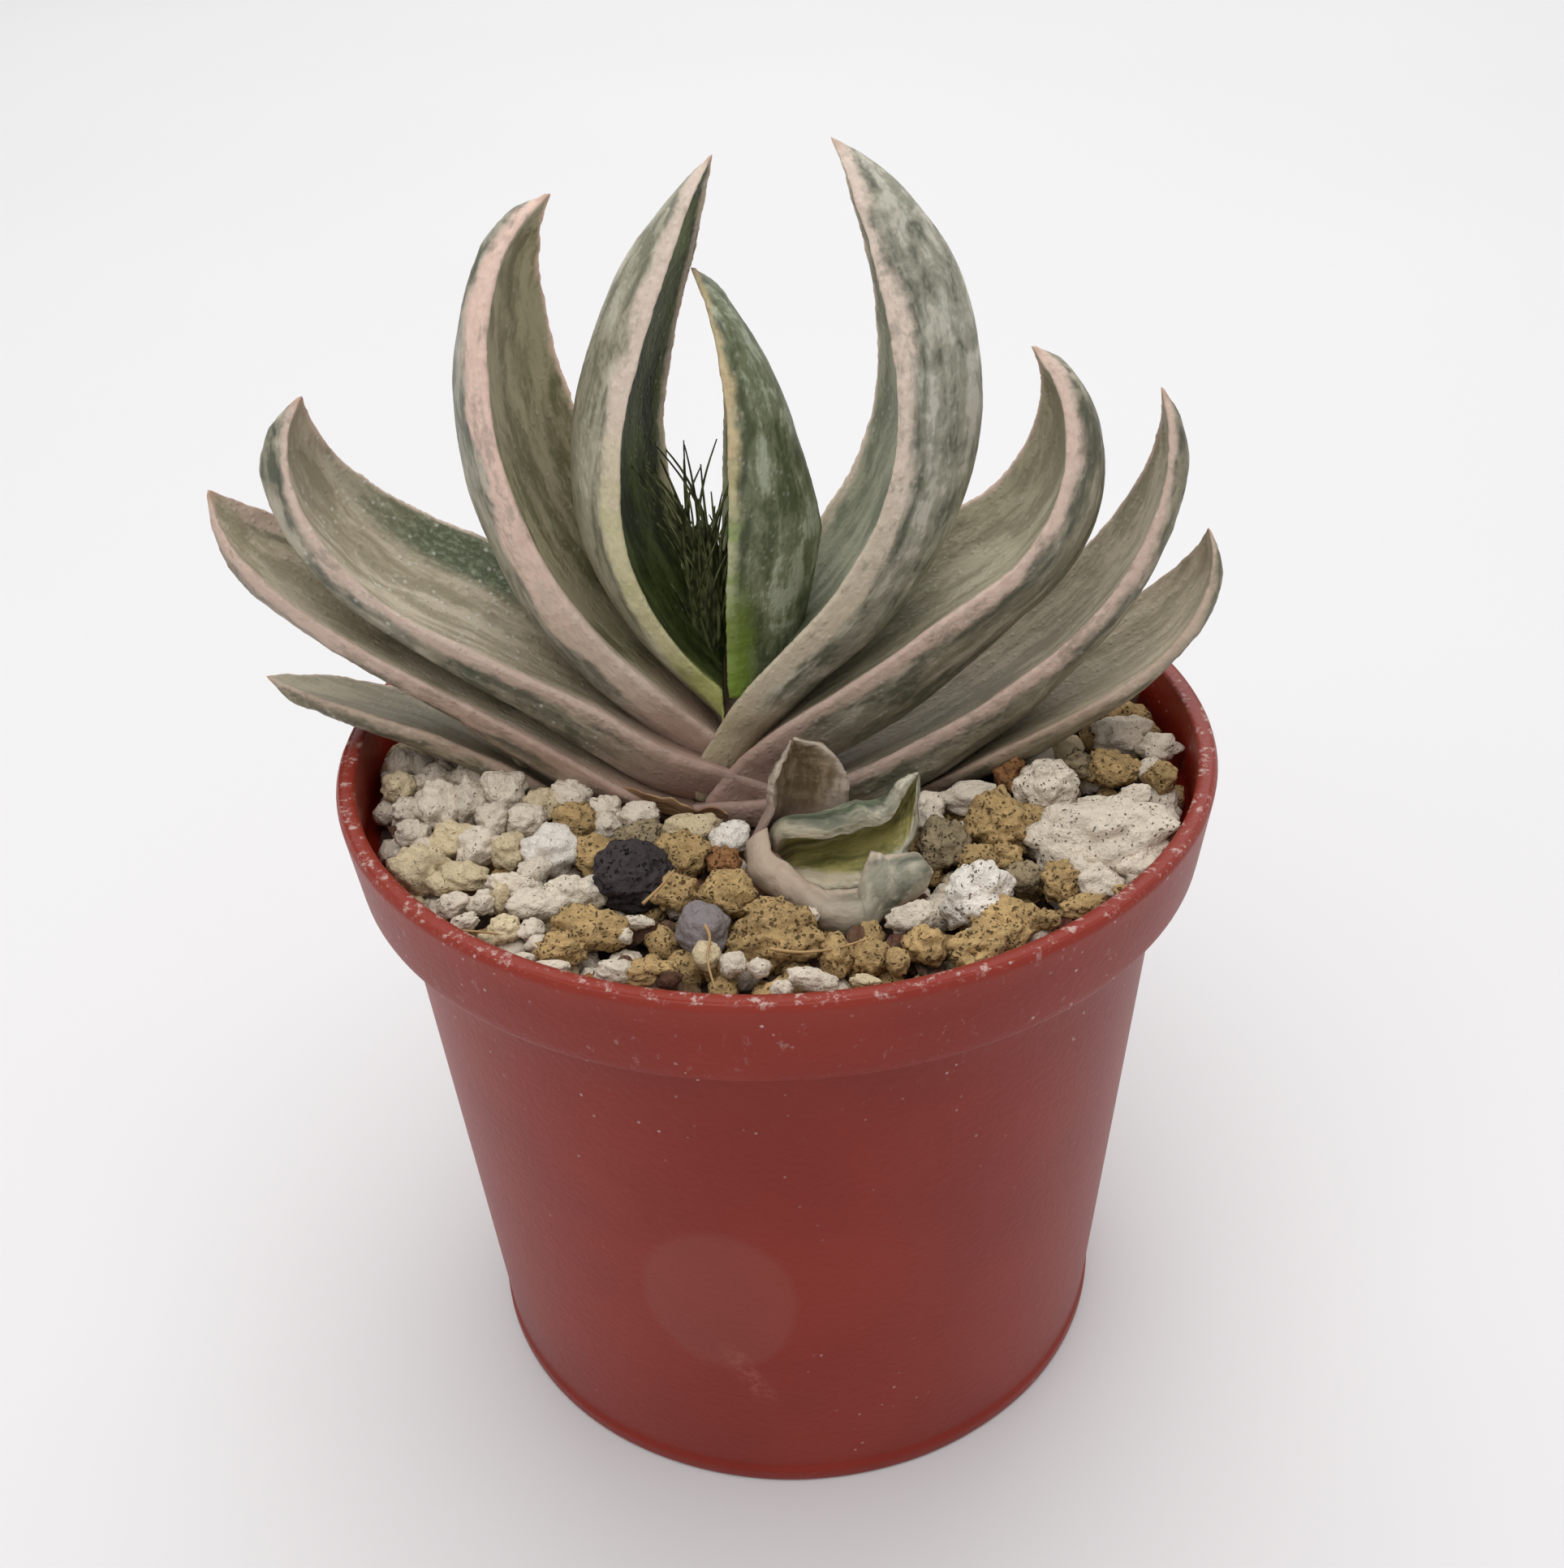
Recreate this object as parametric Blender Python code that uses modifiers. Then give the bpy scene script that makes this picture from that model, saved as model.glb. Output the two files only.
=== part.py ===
"""A gasteria with a side shoot, growing in grit in a round nursery pot of 85 mm.

The origin is at the centre of the pot's underside. Z is up, X points to the
right along the fan of leaves and Y points away from the viewer. Numbers with
a length are written in millimetres and turned into metres by MM.
"""
import math
import random
from dataclasses import dataclass

import bmesh
import bpy
from mathutils import Euler, Matrix, Vector
from mathutils.bvhtree import BVHTree

MM = 0.001
GAP = 0.3

# Pot, a thin turned shell with a collar at the top and a small foot
POT_HEIGHT = 70.0
RIM_RADIUS = 42.5
RIM_WIDTH = 1.85
COLLAR_HEIGHT = 8.9
COLLAR_FOOT_RADIUS = 41.5
BODY_TOP_RADIUS = 38.3
BASE_RADIUS = 33.5
WALL = 1.1
FLOOR = 1.4
FOOT_HEIGHT = 1.5
FOOT_PROUD = 0.35
LIP_ROUND = 0.35
TURN_STEPS = 32
DRAIN_HOLES = 4
DRAIN_DIAMETER = 6.0
DRAIN_CIRCLE = 22.0

# Levels of the filling
SOIL_TOP = 62.2
BED_BOTTOM = SOIL_TOP + GAP
BED_TOP = 63.9
REST_LEVEL = BED_TOP + GAP
BED_RADIUS = RIM_RADIUS - RIM_WIDTH - 2.0 * GAP
BED_STEPS = 48

# The plant's axis, where the left and right leaves meet
CROWN_X = -4.8
CROWN_Y = 3.0
SEAM_TOP = 79.5
STEM_PROFILE = ((1.2, 40.0), (3.0, 48.0), (3.4, 60.0), (2.8, 67.0), (1.4, 71.0))
STEM_STEPS = 16
SHOOT_X = -1.2
SHOOT_Y = -16.4
SHOOT_PROFILE = ((1.0, 55.0), (2.0, 59.0), (2.2, 64.6), (1.2, 66.2))
SHOOT_STEPS = 12

# Shape of a leaf along its length, from root (0) to tip (1)
STATIONS = 17
SHORT_STATIONS = 12
TIP_HALF_WIDTH = ((0.0, 0.84), (0.15, 0.96), (0.35, 1.0), (0.55, 0.95), (0.75, 0.76),
                  (0.88, 0.50), (0.95, 0.27), (1.0, 0.03))
ROOT_SHARE = 0.75
CUTTER_GROWTH = 0.5

CORNERS = 10
PATH_SAMPLES = 160

# Spent flower stalk behind the two middle leaves: a slim core with frayed fibres
STALK_FOOT = (CROWN_X - 1.6, 6.2, 76.5)
STALK_HEIGHT = 17.0
STALK_FIBRES = 18
STALK_SEED = 5

# Grit: white on the left, tan on the right, larger grains thrown first
GRAIN_SEED = 11
GRAIN_SPACING = 0.8
GRAIN_TRIES = 15000
LARGE_GRAIN_TRIES = 6000
LARGE_GRAIN = (2.4, 3.3)
SMALL_GRAIN = (1.5, 2.3)
BOUNDARY_X = -10.0
BOUNDARY_SLOPE = 0.26
BOUNDARY_REACH = 40.0


@dataclass(frozen=True)
class Leaf:
    """One leaf: a bent, keeled and channelled blade. Lengths are in millimetres."""

    name: str
    root: tuple
    length: float
    rise: tuple          # heading above level in degrees, at even steps from root to tip
    turn: float          # 0 points right, 180 points left, -90 points at the viewer
    roll: float          # degrees about its own run, as seen looking from root to tip
    half_width: float
    keel: float          # depth of the underside's ridge below the edges
    keel_fade: float     # a high power keeps the ridge deep towards the tip
    channel: float       # depth of the upper side's hollow
    edge: float          # thickness of the edges
    sheath: float        # how far the base reaches back past the root


LEFT_LEAVES = (
    Leaf("leaf_left_1", (-4.0, 3.0, 77.5), 49.6, (51, 68, 91, 106, 110, 106), 180, -14,
         7.6, 7.6, 5.0, 2.6, 1.9, 9.0),
    Leaf("leaf_left_2", (-3.2, 3.0, 73.0), 54.8, (50, 47, 65, 78, 94, 127), 180, -22,
         8.0, 11.0, 3.0, 3.2, 2.0, 9.0),
    Leaf("leaf_left_3", (-3.4, 3.0, 70.2), 54.4, (26, 36, 29, 31, 55, 106), 180, -16,
         8.2, 9.5, 2.8, 3.4, 2.1, 9.0),
    Leaf("leaf_left_4", (-5.0, 3.0, 65.9), 57.8, (16, 33, 37, 33, 36, 68), 180, -20,
         8.0, 9.5, 4.0, 3.0, 2.0, 9.0),
    Leaf("leaf_left_5", (-20.0, 3.0, 62.9), 32.8, (33, 38, 29, 20, 19, 6), 180, 12,
         6.0, 3.9, 5.0, 1.0, 1.5, 16.0),
)
RIGHT_LEAVES = (
    Leaf("leaf_right_1", (-4.8, 3.0, 80.0), 35.2, (90, 85, 86, 88, 98, 110), 0, 2,
         7.0, 11.4, 1.8, 2.2, 1.7, 5.0),
    Leaf("leaf_right_2", (-5.9, 3.0, 73.2), 57.9, (60, 45, 62, 88, 104, 107), 0, 3,
         8.2, 10.0, 6.5, 2.8, 2.1, 9.0),
    Leaf("leaf_right_3", (-5.6, 3.0, 69.2), 53.2, (53, 30, 38, 35, 80, 126), 0, 8,
         8.2, 12.0, 3.4, 3.4, 2.2, 9.0),
    Leaf("leaf_right_4", (-5.2, 3.0, 65.3), 61.2, (3, 21, 32, 42, 66, 101), 0, -2,
         8.0, 8.5, 2.2, 3.0, 2.0, 9.0),
    Leaf("leaf_right_5", (13.5, 3.0, 64.8), 38.5, (34, 31, 27, 31, 51, 91), 0, 3,
         7.6, 7.0, 2.7, 2.4, 1.8, 18.0),
)
SHOOT_LEAVES = (
    Leaf("shoot_leaf_2", (-1.6, -16.4, 66.2), 17.6, (6, 12, 20, 32, 44, 54), -3, 26,
         4.3, 3.4, 3.0, 2.2, 0.9, 1.5),
    Leaf("shoot_leaf_1", (1.8, -12.4, 65.0), 10.8, (80, 84, 90, 94, 98, 104), 105, 0,
         4.3, 2.2, 2.4, 1.2, 0.8, 1.5),
    Leaf("shoot_leaf_3", (-1.4, -18.0, 66.3), 15.4, (-4, 0, 6, 14, 22, 30), -22, -16,
         4.8, 4.4, 4.0, 2.0, 0.9, 1.5),
)

# Loose stones that lie on the bed: name, x, y, length, width, height, turn
LOOSE_STONES = (
    ("lava_stone", -13.4, -18.9, 7.2, 6.4, 5.2, 20),
    ("purple_stone", -6.9, -26.6, 4.6, 5.6, 4.4, 0),
    ("pumice_stone_1", 29.6, -16.7, 12.6, 7.2, 6.0, -8),
    ("pumice_stone_2", 25.6, -7.6, 6.2, 5.0, 5.2, 10),
    ("pumice_stone_3", 17.4, -24.4, 6.6, 5.8, 5.4, 35),
    ("tan_stone_1", 20.6, -13.4, 6.6, 7.6, 5.6, 15),
    ("tan_stone_2", -0.6, -28.6, 9.4, 5.6, 5.0, -10),
    ("tan_stone_3", 17.4, -31.4, 9.6, 5.2, 4.6, 36),
)


def collection_named(name):
    """Return a new collection linked to the scene."""
    collection = bpy.data.collections.new(name)
    bpy.context.scene.collection.children.link(collection)
    return collection


def finish_material(name, colour, roughness):
    """Return a Principled material with one colour and roughness."""
    material = bpy.data.materials.new(name)
    material.use_nodes = True
    shader = material.node_tree.nodes["Principled BSDF"]
    shader.inputs["Base Color"].default_value = (*colour, 1.0)
    shader.inputs["Roughness"].default_value = roughness
    shader.inputs["Metallic"].default_value = 0.0
    return material


def object_from_bmesh(bm, name, collection, material=None):
    """Turn a bmesh in millimetres into an object in metres."""
    bmesh.ops.scale(bm, vec=(MM, MM, MM), verts=bm.verts)
    mesh = bpy.data.meshes.new(name)
    bm.to_mesh(mesh)
    bm.free()
    made = bpy.data.objects.new(name, mesh)
    collection.objects.link(made)
    if material:
        mesh.materials.append(material)
    return made


def turned_object(name, profile, steps, centre, collection, material=None):
    """Turn a profile of (radius, height) points about an upright axis with Screw."""
    mesh = bpy.data.meshes.new(name)
    points = [(radius * MM, 0.0, height * MM) for radius, height in profile]
    edges = [(i, i + 1) for i in range(len(points) - 1)]
    mesh.from_pydata(points, edges, [])
    made = bpy.data.objects.new(name, mesh)
    made.location = (centre[0] * MM, centre[1] * MM, 0.0)
    collection.objects.link(made)
    screw = made.modifiers.new("Turn", "SCREW")
    screw.steps = steps
    screw.render_steps = steps
    screw.use_merge_vertices = True
    screw.merge_threshold = 0.00002
    screw.use_smooth_shade = False
    if material:
        mesh.materials.append(material)
    return made


def applied_mesh(source):
    """Replace an object's mesh by its evaluated mesh, in place, with no modifiers."""
    graph = bpy.context.evaluated_depsgraph_get()
    mesh = bpy.data.meshes.new_from_object(source.evaluated_get(graph))
    mesh.transform(source.matrix_world)
    source.modifiers.clear()
    source.data = mesh
    source.matrix_world = Matrix.Identity(4)


def keep_largest_body(target):
    """Delete every loose scrap of a mesh but its largest connected body."""
    bm = bmesh.new()
    bm.from_mesh(target.data)
    bmesh.ops.remove_doubles(bm, verts=bm.verts, dist=0.000001)
    left = set(bm.verts)
    bodies = []
    while left:
        queue = [left.pop()]
        body = set(queue)
        while queue:
            for edge in queue.pop().link_edges:
                for vert in edge.verts:
                    if vert in left:
                        left.discard(vert)
                        body.add(vert)
                        queue.append(vert)
        bodies.append(body)
    largest = max(bodies, key=len)
    scraps = [vert for body in bodies if body is not largest for vert in body]
    bmesh.ops.delete(bm, geom=scraps, context="VERTS")
    bm.to_mesh(target.data)
    bm.free()


def carve(target, cutters):
    """Cut a list of solids out of an object and keep its largest body."""
    for cutter in cutters:
        cut = target.modifiers.new("Carve", "BOOLEAN")
        cut.operation = "DIFFERENCE"
        cut.object = cutter
    bpy.context.view_layer.update()
    applied_mesh(target)
    keep_largest_body(target)


def cutter_box(name, low, high, collection):
    """Return a box cutter between two corners, in millimetres."""
    bm = bmesh.new()
    bmesh.ops.create_cube(bm, size=1.0)
    for vert in bm.verts:
        vert.co = [low[i] if vert.co[i] < 0.0 else high[i] for i in range(3)]
    made = object_from_bmesh(bm, name, collection)
    made.hide_render = True
    made.display_type = "WIRE"
    return made


def grown_copy(source, growth, collection):
    """Return a cutter that is the source's solid grown by a clearance."""
    mesh = source.data.copy()
    bm = bmesh.new()
    bm.from_mesh(mesh)
    bm.normal_update()
    moves = [vert.normal * growth * MM for vert in bm.verts]
    for vert, move in zip(bm.verts, moves):
        vert.co += move
    bm.to_mesh(mesh)
    bm.free()
    made = bpy.data.objects.new(source.name + "_clearance", mesh)
    made.hide_render = True
    made.display_type = "WIRE"
    collection.objects.link(made)
    return made


def ramp(knots, t):
    """Read a curve given by (t, value) knots, straight between them."""
    for (t0, v0), (t1, v1) in zip(knots, knots[1:]):
        if t <= t1:
            return v0 + (v1 - v0) * (t - t0) / (t1 - t0)
    return knots[-1][1]


def leaf_path(leaf, fractions):
    """Return the middle point and heading of a leaf at each fraction of its length.

    Fractions below zero lie on the sheath, which runs straight back from the
    root. The heading between two given values changes evenly.
    """
    headings = [(i / (len(leaf.rise) - 1), float(angle)) for i, angle in enumerate(leaf.rise)]
    turn = math.radians(leaf.turn)
    flat = Vector((math.cos(turn), math.sin(turn), 0.0))
    points = [Vector(leaf.root)]
    for i in range(PATH_SAMPLES):
        angle = math.radians(ramp(headings, (i + 0.5) / PATH_SAMPLES))
        step = flat * math.cos(angle) + Vector((0.0, 0.0, math.sin(angle)))
        points.append(points[-1] + step * (leaf.length / PATH_SAMPLES))
    first = math.radians(leaf.rise[0])
    back = flat * math.cos(first) + Vector((0.0, 0.0, math.sin(first)))
    path = []
    for t in fractions:
        if t < 0.0:
            path.append((points[0] + back * (t * leaf.length), first))
            continue
        place = min(t, 1.0) * PATH_SAMPLES
        low = min(int(place), PATH_SAMPLES - 1)
        middle = points[low].lerp(points[low + 1], place - low)
        path.append((middle, math.radians(ramp(headings, t))))
    return path


def leaf_section(leaf, t):
    """Return the ten corners of a leaf's section, as (across, above) pairs.

    They run from the edge on one side over the hollow upper face to the other
    edge, and back below over the ridge.
    """
    half = leaf.half_width * ramp(TIP_HALF_WIDTH, max(t, 0.0))
    fade = max(1.0 - max(t, 0.0) ** leaf.keel_fade, 0.04)
    depth = leaf.keel * min(ROOT_SHARE + (1.0 - ROOT_SHARE) * t / 0.3, 1.0) * fade
    slim = min(1.0, half / (0.45 * leaf.half_width))
    edge = leaf.edge * slim
    depth = max(depth, edge * 1.25)
    hollow = min(leaf.channel * slim * fade ** 0.5, depth - 0.8 * slim)
    upper = [(half, 0.0), (half * 0.55, -hollow * 0.72), (0.0, -hollow),
             (-half * 0.55, -hollow * 0.72), (-half, 0.0)]
    flank = edge + (depth - edge) * 0.66
    lower = [(-half * 0.97, -edge), (-half * 0.56, -flank), (0.0, -depth),
             (half * 0.56, -flank), (half * 0.97, -edge)]
    return upper + lower


def leaf_object(leaf, stations, collection, material):
    """Shape a sphere's rings and columns into a leaf along its bent path."""
    bm = bmesh.new()
    bmesh.ops.create_uvsphere(bm, u_segments=CORNERS, v_segments=stations, radius=1.0)
    start = -leaf.sheath / leaf.length
    ring_of = {}
    for vert in bm.verts:
        polar = math.acos(max(-1.0, min(1.0, vert.co.z)))
        ring_of[vert] = round(polar / math.pi * stations)
    spread = [0.0] + [((i - 1) / (stations - 2)) ** 0.9 for i in range(1, stations)] + [1.0]
    fractions = [start + (1.0 - start) * share for share in spread]
    fractions[0] = start - 0.02
    fractions[-2] = 1.0 - 0.6 / leaf.length
    path = leaf_path(leaf, fractions)
    turn = math.radians(leaf.turn)
    roll = math.radians(leaf.roll)
    side = Vector((-math.sin(turn), math.cos(turn), 0.0))
    for vert, ring in ring_of.items():
        middle, heading = path[ring]
        above = Vector((-math.sin(heading) * math.cos(turn),
                        -math.sin(heading) * math.sin(turn), math.cos(heading)))
        across = side * math.cos(roll) + above * math.sin(roll)
        over = above * math.cos(roll) - side * math.sin(roll)
        if ring in (0, stations):
            vert.co = middle - over * (0.3 * leaf.edge if ring else 0.5 * leaf.keel)
            continue
        column = math.atan2(vert.co.y, vert.co.x) / (2.0 * math.pi) * CORNERS
        wide, high = leaf_section(leaf, fractions[ring])[math.floor(column) % CORNERS]
        vert.co = middle + across * wide + over * high
    bmesh.ops.recalc_face_normals(bm, faces=bm.faces)
    bmesh.ops.triangulate(bm, faces=bm.faces)
    return object_from_bmesh(bm, leaf.name, collection, material)


def pot_object(collection, cutters, material):
    """Turn the pot's shell and drill its drain holes."""
    ledge = POT_HEIGHT - COLLAR_HEIGHT
    inner_rim = RIM_RADIUS - RIM_WIDTH
    foot = BASE_RADIUS + FOOT_PROUD
    profile = (
        (0.0, FLOOR),
        (BASE_RADIUS - WALL, FLOOR),
        (BODY_TOP_RADIUS - WALL, ledge - 1.0),
        (inner_rim, ledge + 1.6),
        (inner_rim, POT_HEIGHT),
        (RIM_RADIUS - LIP_ROUND, POT_HEIGHT),
        (RIM_RADIUS, POT_HEIGHT - LIP_ROUND),
        (COLLAR_FOOT_RADIUS, ledge),
        (BODY_TOP_RADIUS, ledge),
        (BASE_RADIUS + 0.1, FOOT_HEIGHT + 0.3),
        (foot, FOOT_HEIGHT),
        (foot, 0.0),
        (0.0, 0.0),
    )
    pot = turned_object("pot", profile, TURN_STEPS, (0.0, 0.0), collection, material)
    for i in range(DRAIN_HOLES):
        angle = 2.0 * math.pi * (i + 0.5) / DRAIN_HOLES
        bm = bmesh.new()
        bmesh.ops.create_cone(bm, cap_ends=True, segments=8, depth=8.0,
                              radius1=DRAIN_DIAMETER / 2.0, radius2=DRAIN_DIAMETER / 2.0)
        bmesh.ops.translate(bm, verts=bm.verts, vec=(DRAIN_CIRCLE * math.cos(angle),
                                                     DRAIN_CIRCLE * math.sin(angle), 0.0))
        drill = object_from_bmesh(bm, "drain_drill_%d" % (i + 1), cutters)
        drill.hide_render = True
        drill.display_type = "WIRE"
        hole = pot.modifiers.new("Drain hole", "BOOLEAN")
        hole.operation = "DIFFERENCE"
        hole.object = drill
    return pot


def soil_object(collection, material):
    """Turn the body of potting soil that fills the pot up to below the grit."""
    ledge = POT_HEIGHT - COLLAR_HEIGHT
    lower = BODY_TOP_RADIUS - WALL - GAP
    profile = (
        (0.0, SOIL_TOP),
        (RIM_RADIUS - RIM_WIDTH - 1.2, SOIL_TOP),
        (lower, ledge - 0.6),
        (BASE_RADIUS - WALL - GAP, FLOOR + GAP),
        (0.0, FLOOR + GAP),
    )
    return turned_object("soil", profile, BED_STEPS, (0.0, 0.0), collection, material)


def stem_object(name, profile, steps, centre, collection, material):
    """Turn a short upright stem with a closed point at both ends."""
    low, high = profile[0], profile[-1]
    points = [(0.0, high[1] + 0.4)] + list(reversed(profile)) + [(0.0, low[1] - 0.6)]
    made = turned_object(name, points, steps, centre, collection, material)
    bpy.context.view_layer.update()
    applied_mesh(made)
    return made


def tuft_object(collection, material):
    """Join the frayed fibres of a spent flower stalk on one slim core."""
    rng = random.Random(STALK_SEED)
    foot = Vector(STALK_FOOT)
    bm = bmesh.new()
    bmesh.ops.create_cone(bm, cap_ends=True, segments=7, radius1=1.5, radius2=0.5,
                          depth=STALK_HEIGHT)
    bmesh.ops.translate(bm, verts=bm.verts, vec=foot + Vector((0.0, 0.0, STALK_HEIGHT / 2.0)))
    core = object_from_bmesh(bm, "spent_flower_stalk", collection, material)
    fibres = collection_named("Fibres")
    for i in range(STALK_FIBRES):
        length = rng.uniform(6.0, 10.5)
        start = rng.uniform(5.0, STALK_HEIGHT - 2.0)
        lean = Euler((math.radians(rng.uniform(-24.0, 24.0)),
                      math.radians(rng.uniform(-30.0, 18.0)), rng.uniform(0.0, 6.28)))
        bm = bmesh.new()
        bmesh.ops.create_cone(bm, cap_ends=True, segments=4, radius1=0.55, radius2=0.16,
                              depth=length)
        bmesh.ops.translate(bm, verts=bm.verts, vec=(0.0, 0.0, length / 2.0))
        bmesh.ops.rotate(bm, verts=bm.verts, matrix=lean.to_matrix())
        bmesh.ops.translate(bm, verts=bm.verts, vec=foot + Vector((0.0, 0.0, start)))
        object_from_bmesh(bm, "fibre_%d" % i, fibres)
    union_with(core, fibres)
    return core


def union_with(target, pieces):
    """Join every object of a collection to the target and remove them."""
    join = target.modifiers.new("Join", "BOOLEAN")
    join.operation = "UNION"
    join.operand_type = "COLLECTION"
    join.collection = pieces
    join.solver = "MANIFOLD"
    bpy.context.view_layer.update()
    applied_mesh(target)
    for piece in list(pieces.objects):
        bpy.data.objects.remove(piece)
    bpy.data.collections.remove(pieces)
    keep_largest_body(target)


def stone_bmesh(size, turn, seed, subdivisions, rough):
    """Return a rough stone of a given length, width and height about the origin."""
    rng = random.Random(seed)
    bm = bmesh.new()
    bmesh.ops.create_icosphere(bm, subdivisions=subdivisions, radius=0.5)
    for vert in bm.verts:
        vert.co *= 1.0 + rng.uniform(-rough, rough)
    tumble = Euler([rng.uniform(0.0, 6.28) for _ in range(3)]).to_matrix()
    bmesh.ops.rotate(bm, verts=bm.verts, matrix=tumble)
    bmesh.ops.scale(bm, vec=size, verts=bm.verts)
    bmesh.ops.rotate(bm, verts=bm.verts, matrix=Matrix.Rotation(math.radians(turn), 3, "Z"))
    return bm


def loose_stone(spec, seed, collection, material):
    """Lay one loose stone on the bed, flat where it rests."""
    name, x, y, length, width, height, turn = spec
    bm = stone_bmesh((length, width, height * 1.25), turn, seed, 2, 0.09)
    bmesh.ops.translate(bm, verts=bm.verts, vec=(x, y, REST_LEVEL + height * 0.42))
    cut = bmesh.ops.bisect_plane(bm, geom=bm.verts[:] + bm.edges[:] + bm.faces[:],
                                 plane_co=(0.0, 0.0, REST_LEVEL), plane_no=(0.0, 0.0, -1.0),
                                 clear_outer=True)
    rim = [item for item in cut["geom_cut"] if isinstance(item, bmesh.types.BMEdge)]
    bmesh.ops.edgeloop_fill(bm, edges=rim)
    bmesh.ops.recalc_face_normals(bm, faces=bm.faces)
    bmesh.ops.triangulate(bm, faces=bm.faces)
    return object_from_bmesh(bm, name, collection, material)


def bed_boundary(bed_side):
    """Return a point of the boundary between white and tan grit, and its normal.

    The normal points into the bed on the given side, -1 for left or 1 for right.
    """
    front = Vector((BOUNDARY_X - BOUNDARY_SLOPE * BOUNDARY_REACH, -BOUNDARY_REACH, 0.0))
    back = Vector((BOUNDARY_X, BOUNDARY_REACH, 0.0))
    run = (back - front).normalized()
    return front, Vector((run.y, -run.x, 0.0)) * bed_side


def bed_object(name, bed_side, collection, material):
    """Return one thin bed: the part of a disc on one side of the boundary."""
    bm = bmesh.new()
    low = BED_BOTTOM - 1.0
    bmesh.ops.create_cone(bm, cap_ends=True, segments=BED_STEPS, radius1=BED_RADIUS,
                          radius2=BED_RADIUS, depth=BED_TOP - low)
    bmesh.ops.translate(bm, verts=bm.verts, vec=(0.0, 0.0, (BED_TOP + low) / 2.0))
    front, inward = bed_boundary(bed_side)
    cut = bmesh.ops.bisect_plane(bm, geom=bm.verts[:] + bm.edges[:] + bm.faces[:],
                                 plane_co=front + inward * (GAP / 2.0), plane_no=-inward,
                                 clear_outer=True)
    rim = [item for item in cut["geom_cut"] if isinstance(item, bmesh.types.BMEdge)]
    bmesh.ops.edgeloop_fill(bm, edges=rim)
    bmesh.ops.recalc_face_normals(bm, faces=bm.faces)
    return object_from_bmesh(bm, name, collection, material)


def grain_places(bed_side, obstacles, taken):
    """Throw grains on one side of the boundary until the bed is covered.

    Each grain keeps clear of the pot's wall, of the boundary, of the plant and
    of the loose stones, and grains of one bed sink a little into each other.
    """
    rng = random.Random(GRAIN_SEED + int(bed_side > 0.0))
    front, inward = bed_boundary(bed_side)
    places = []
    for attempt in range(GRAIN_TRIES):
        radius = rng.uniform(*(LARGE_GRAIN if attempt < LARGE_GRAIN_TRIES else SMALL_GRAIN))
        angle = rng.uniform(0.0, 2.0 * math.pi)
        reach = (BED_RADIUS - radius) * math.sqrt(rng.random())
        spot = Vector((reach * math.cos(angle), reach * math.sin(angle), 0.0))
        if (spot - front).dot(inward) < radius + GAP:
            continue
        spot.z = BED_TOP + radius * rng.uniform(0.1, 0.35)
        if any((spot - other).length < (radius + size) * GRAIN_SPACING for other, size in places):
            continue
        if any((spot - other).length < radius + size + GAP for other, size in taken):
            continue
        nearest = min(tree.find_nearest(spot * MM)[3] for tree in obstacles)
        if nearest < (radius * 1.12 + GAP) * MM:
            continue
        places.append((spot, radius))
    return places


def grit_bed(name, bed_side, obstacles, taken, collection, material):
    """Join the grains of one colour on their thin bed."""
    bed = bed_object(name, bed_side, collection, material)
    grains = collection_named(name + "_grains")
    for i, (spot, radius) in enumerate(grain_places(bed_side, obstacles, taken)):
        size = (radius * 2.1, radius * 1.9, radius * 1.8)
        bm = stone_bmesh(size, i * 40.0, 100 + i, 1, 0.08)
        bmesh.ops.translate(bm, verts=bm.verts, vec=spot)
        object_from_bmesh(bm, "grain_%d" % i, grains)
    union_with(bed, grains)
    return bed


def bvh_of(source):
    """Return a nearest-point tree of an object's own mesh, in metres."""
    bm = bmesh.new()
    bm.from_mesh(source.data)
    tree = BVHTree.FromBMesh(bm)
    bm.free()
    return tree


def sheath_object(collection, material):
    """Bend a thin papery scrap of an old leaf round the foot of the plant."""
    scrap = Leaf("dried_sheath", (-5.6, -9.0, REST_LEVEL + 1.5), 11.5, (10, 4, 6, 12, 16, 20),
                 156, 0, 1.7, 1.2, 4.0, 0.3, 0.8, 1.0)
    return leaf_object(scrap, 10, collection, material)


def nest_leaves(leaves, fixed_cutters, cutters, collection, material):
    """Build one side of the fan, each leaf cut clear of the ones inside it.

    Returns the leaves and the cutters that leave room for them.
    """
    made = []
    clearances = []
    for leaf in leaves:
        blade = leaf_object(leaf, STATIONS, collection, material)
        room = grown_copy(blade, CUTTER_GROWTH, cutters)
        carve(blade, fixed_cutters + clearances)
        made.append(blade)
        clearances.append(room)
    return made, clearances


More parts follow.
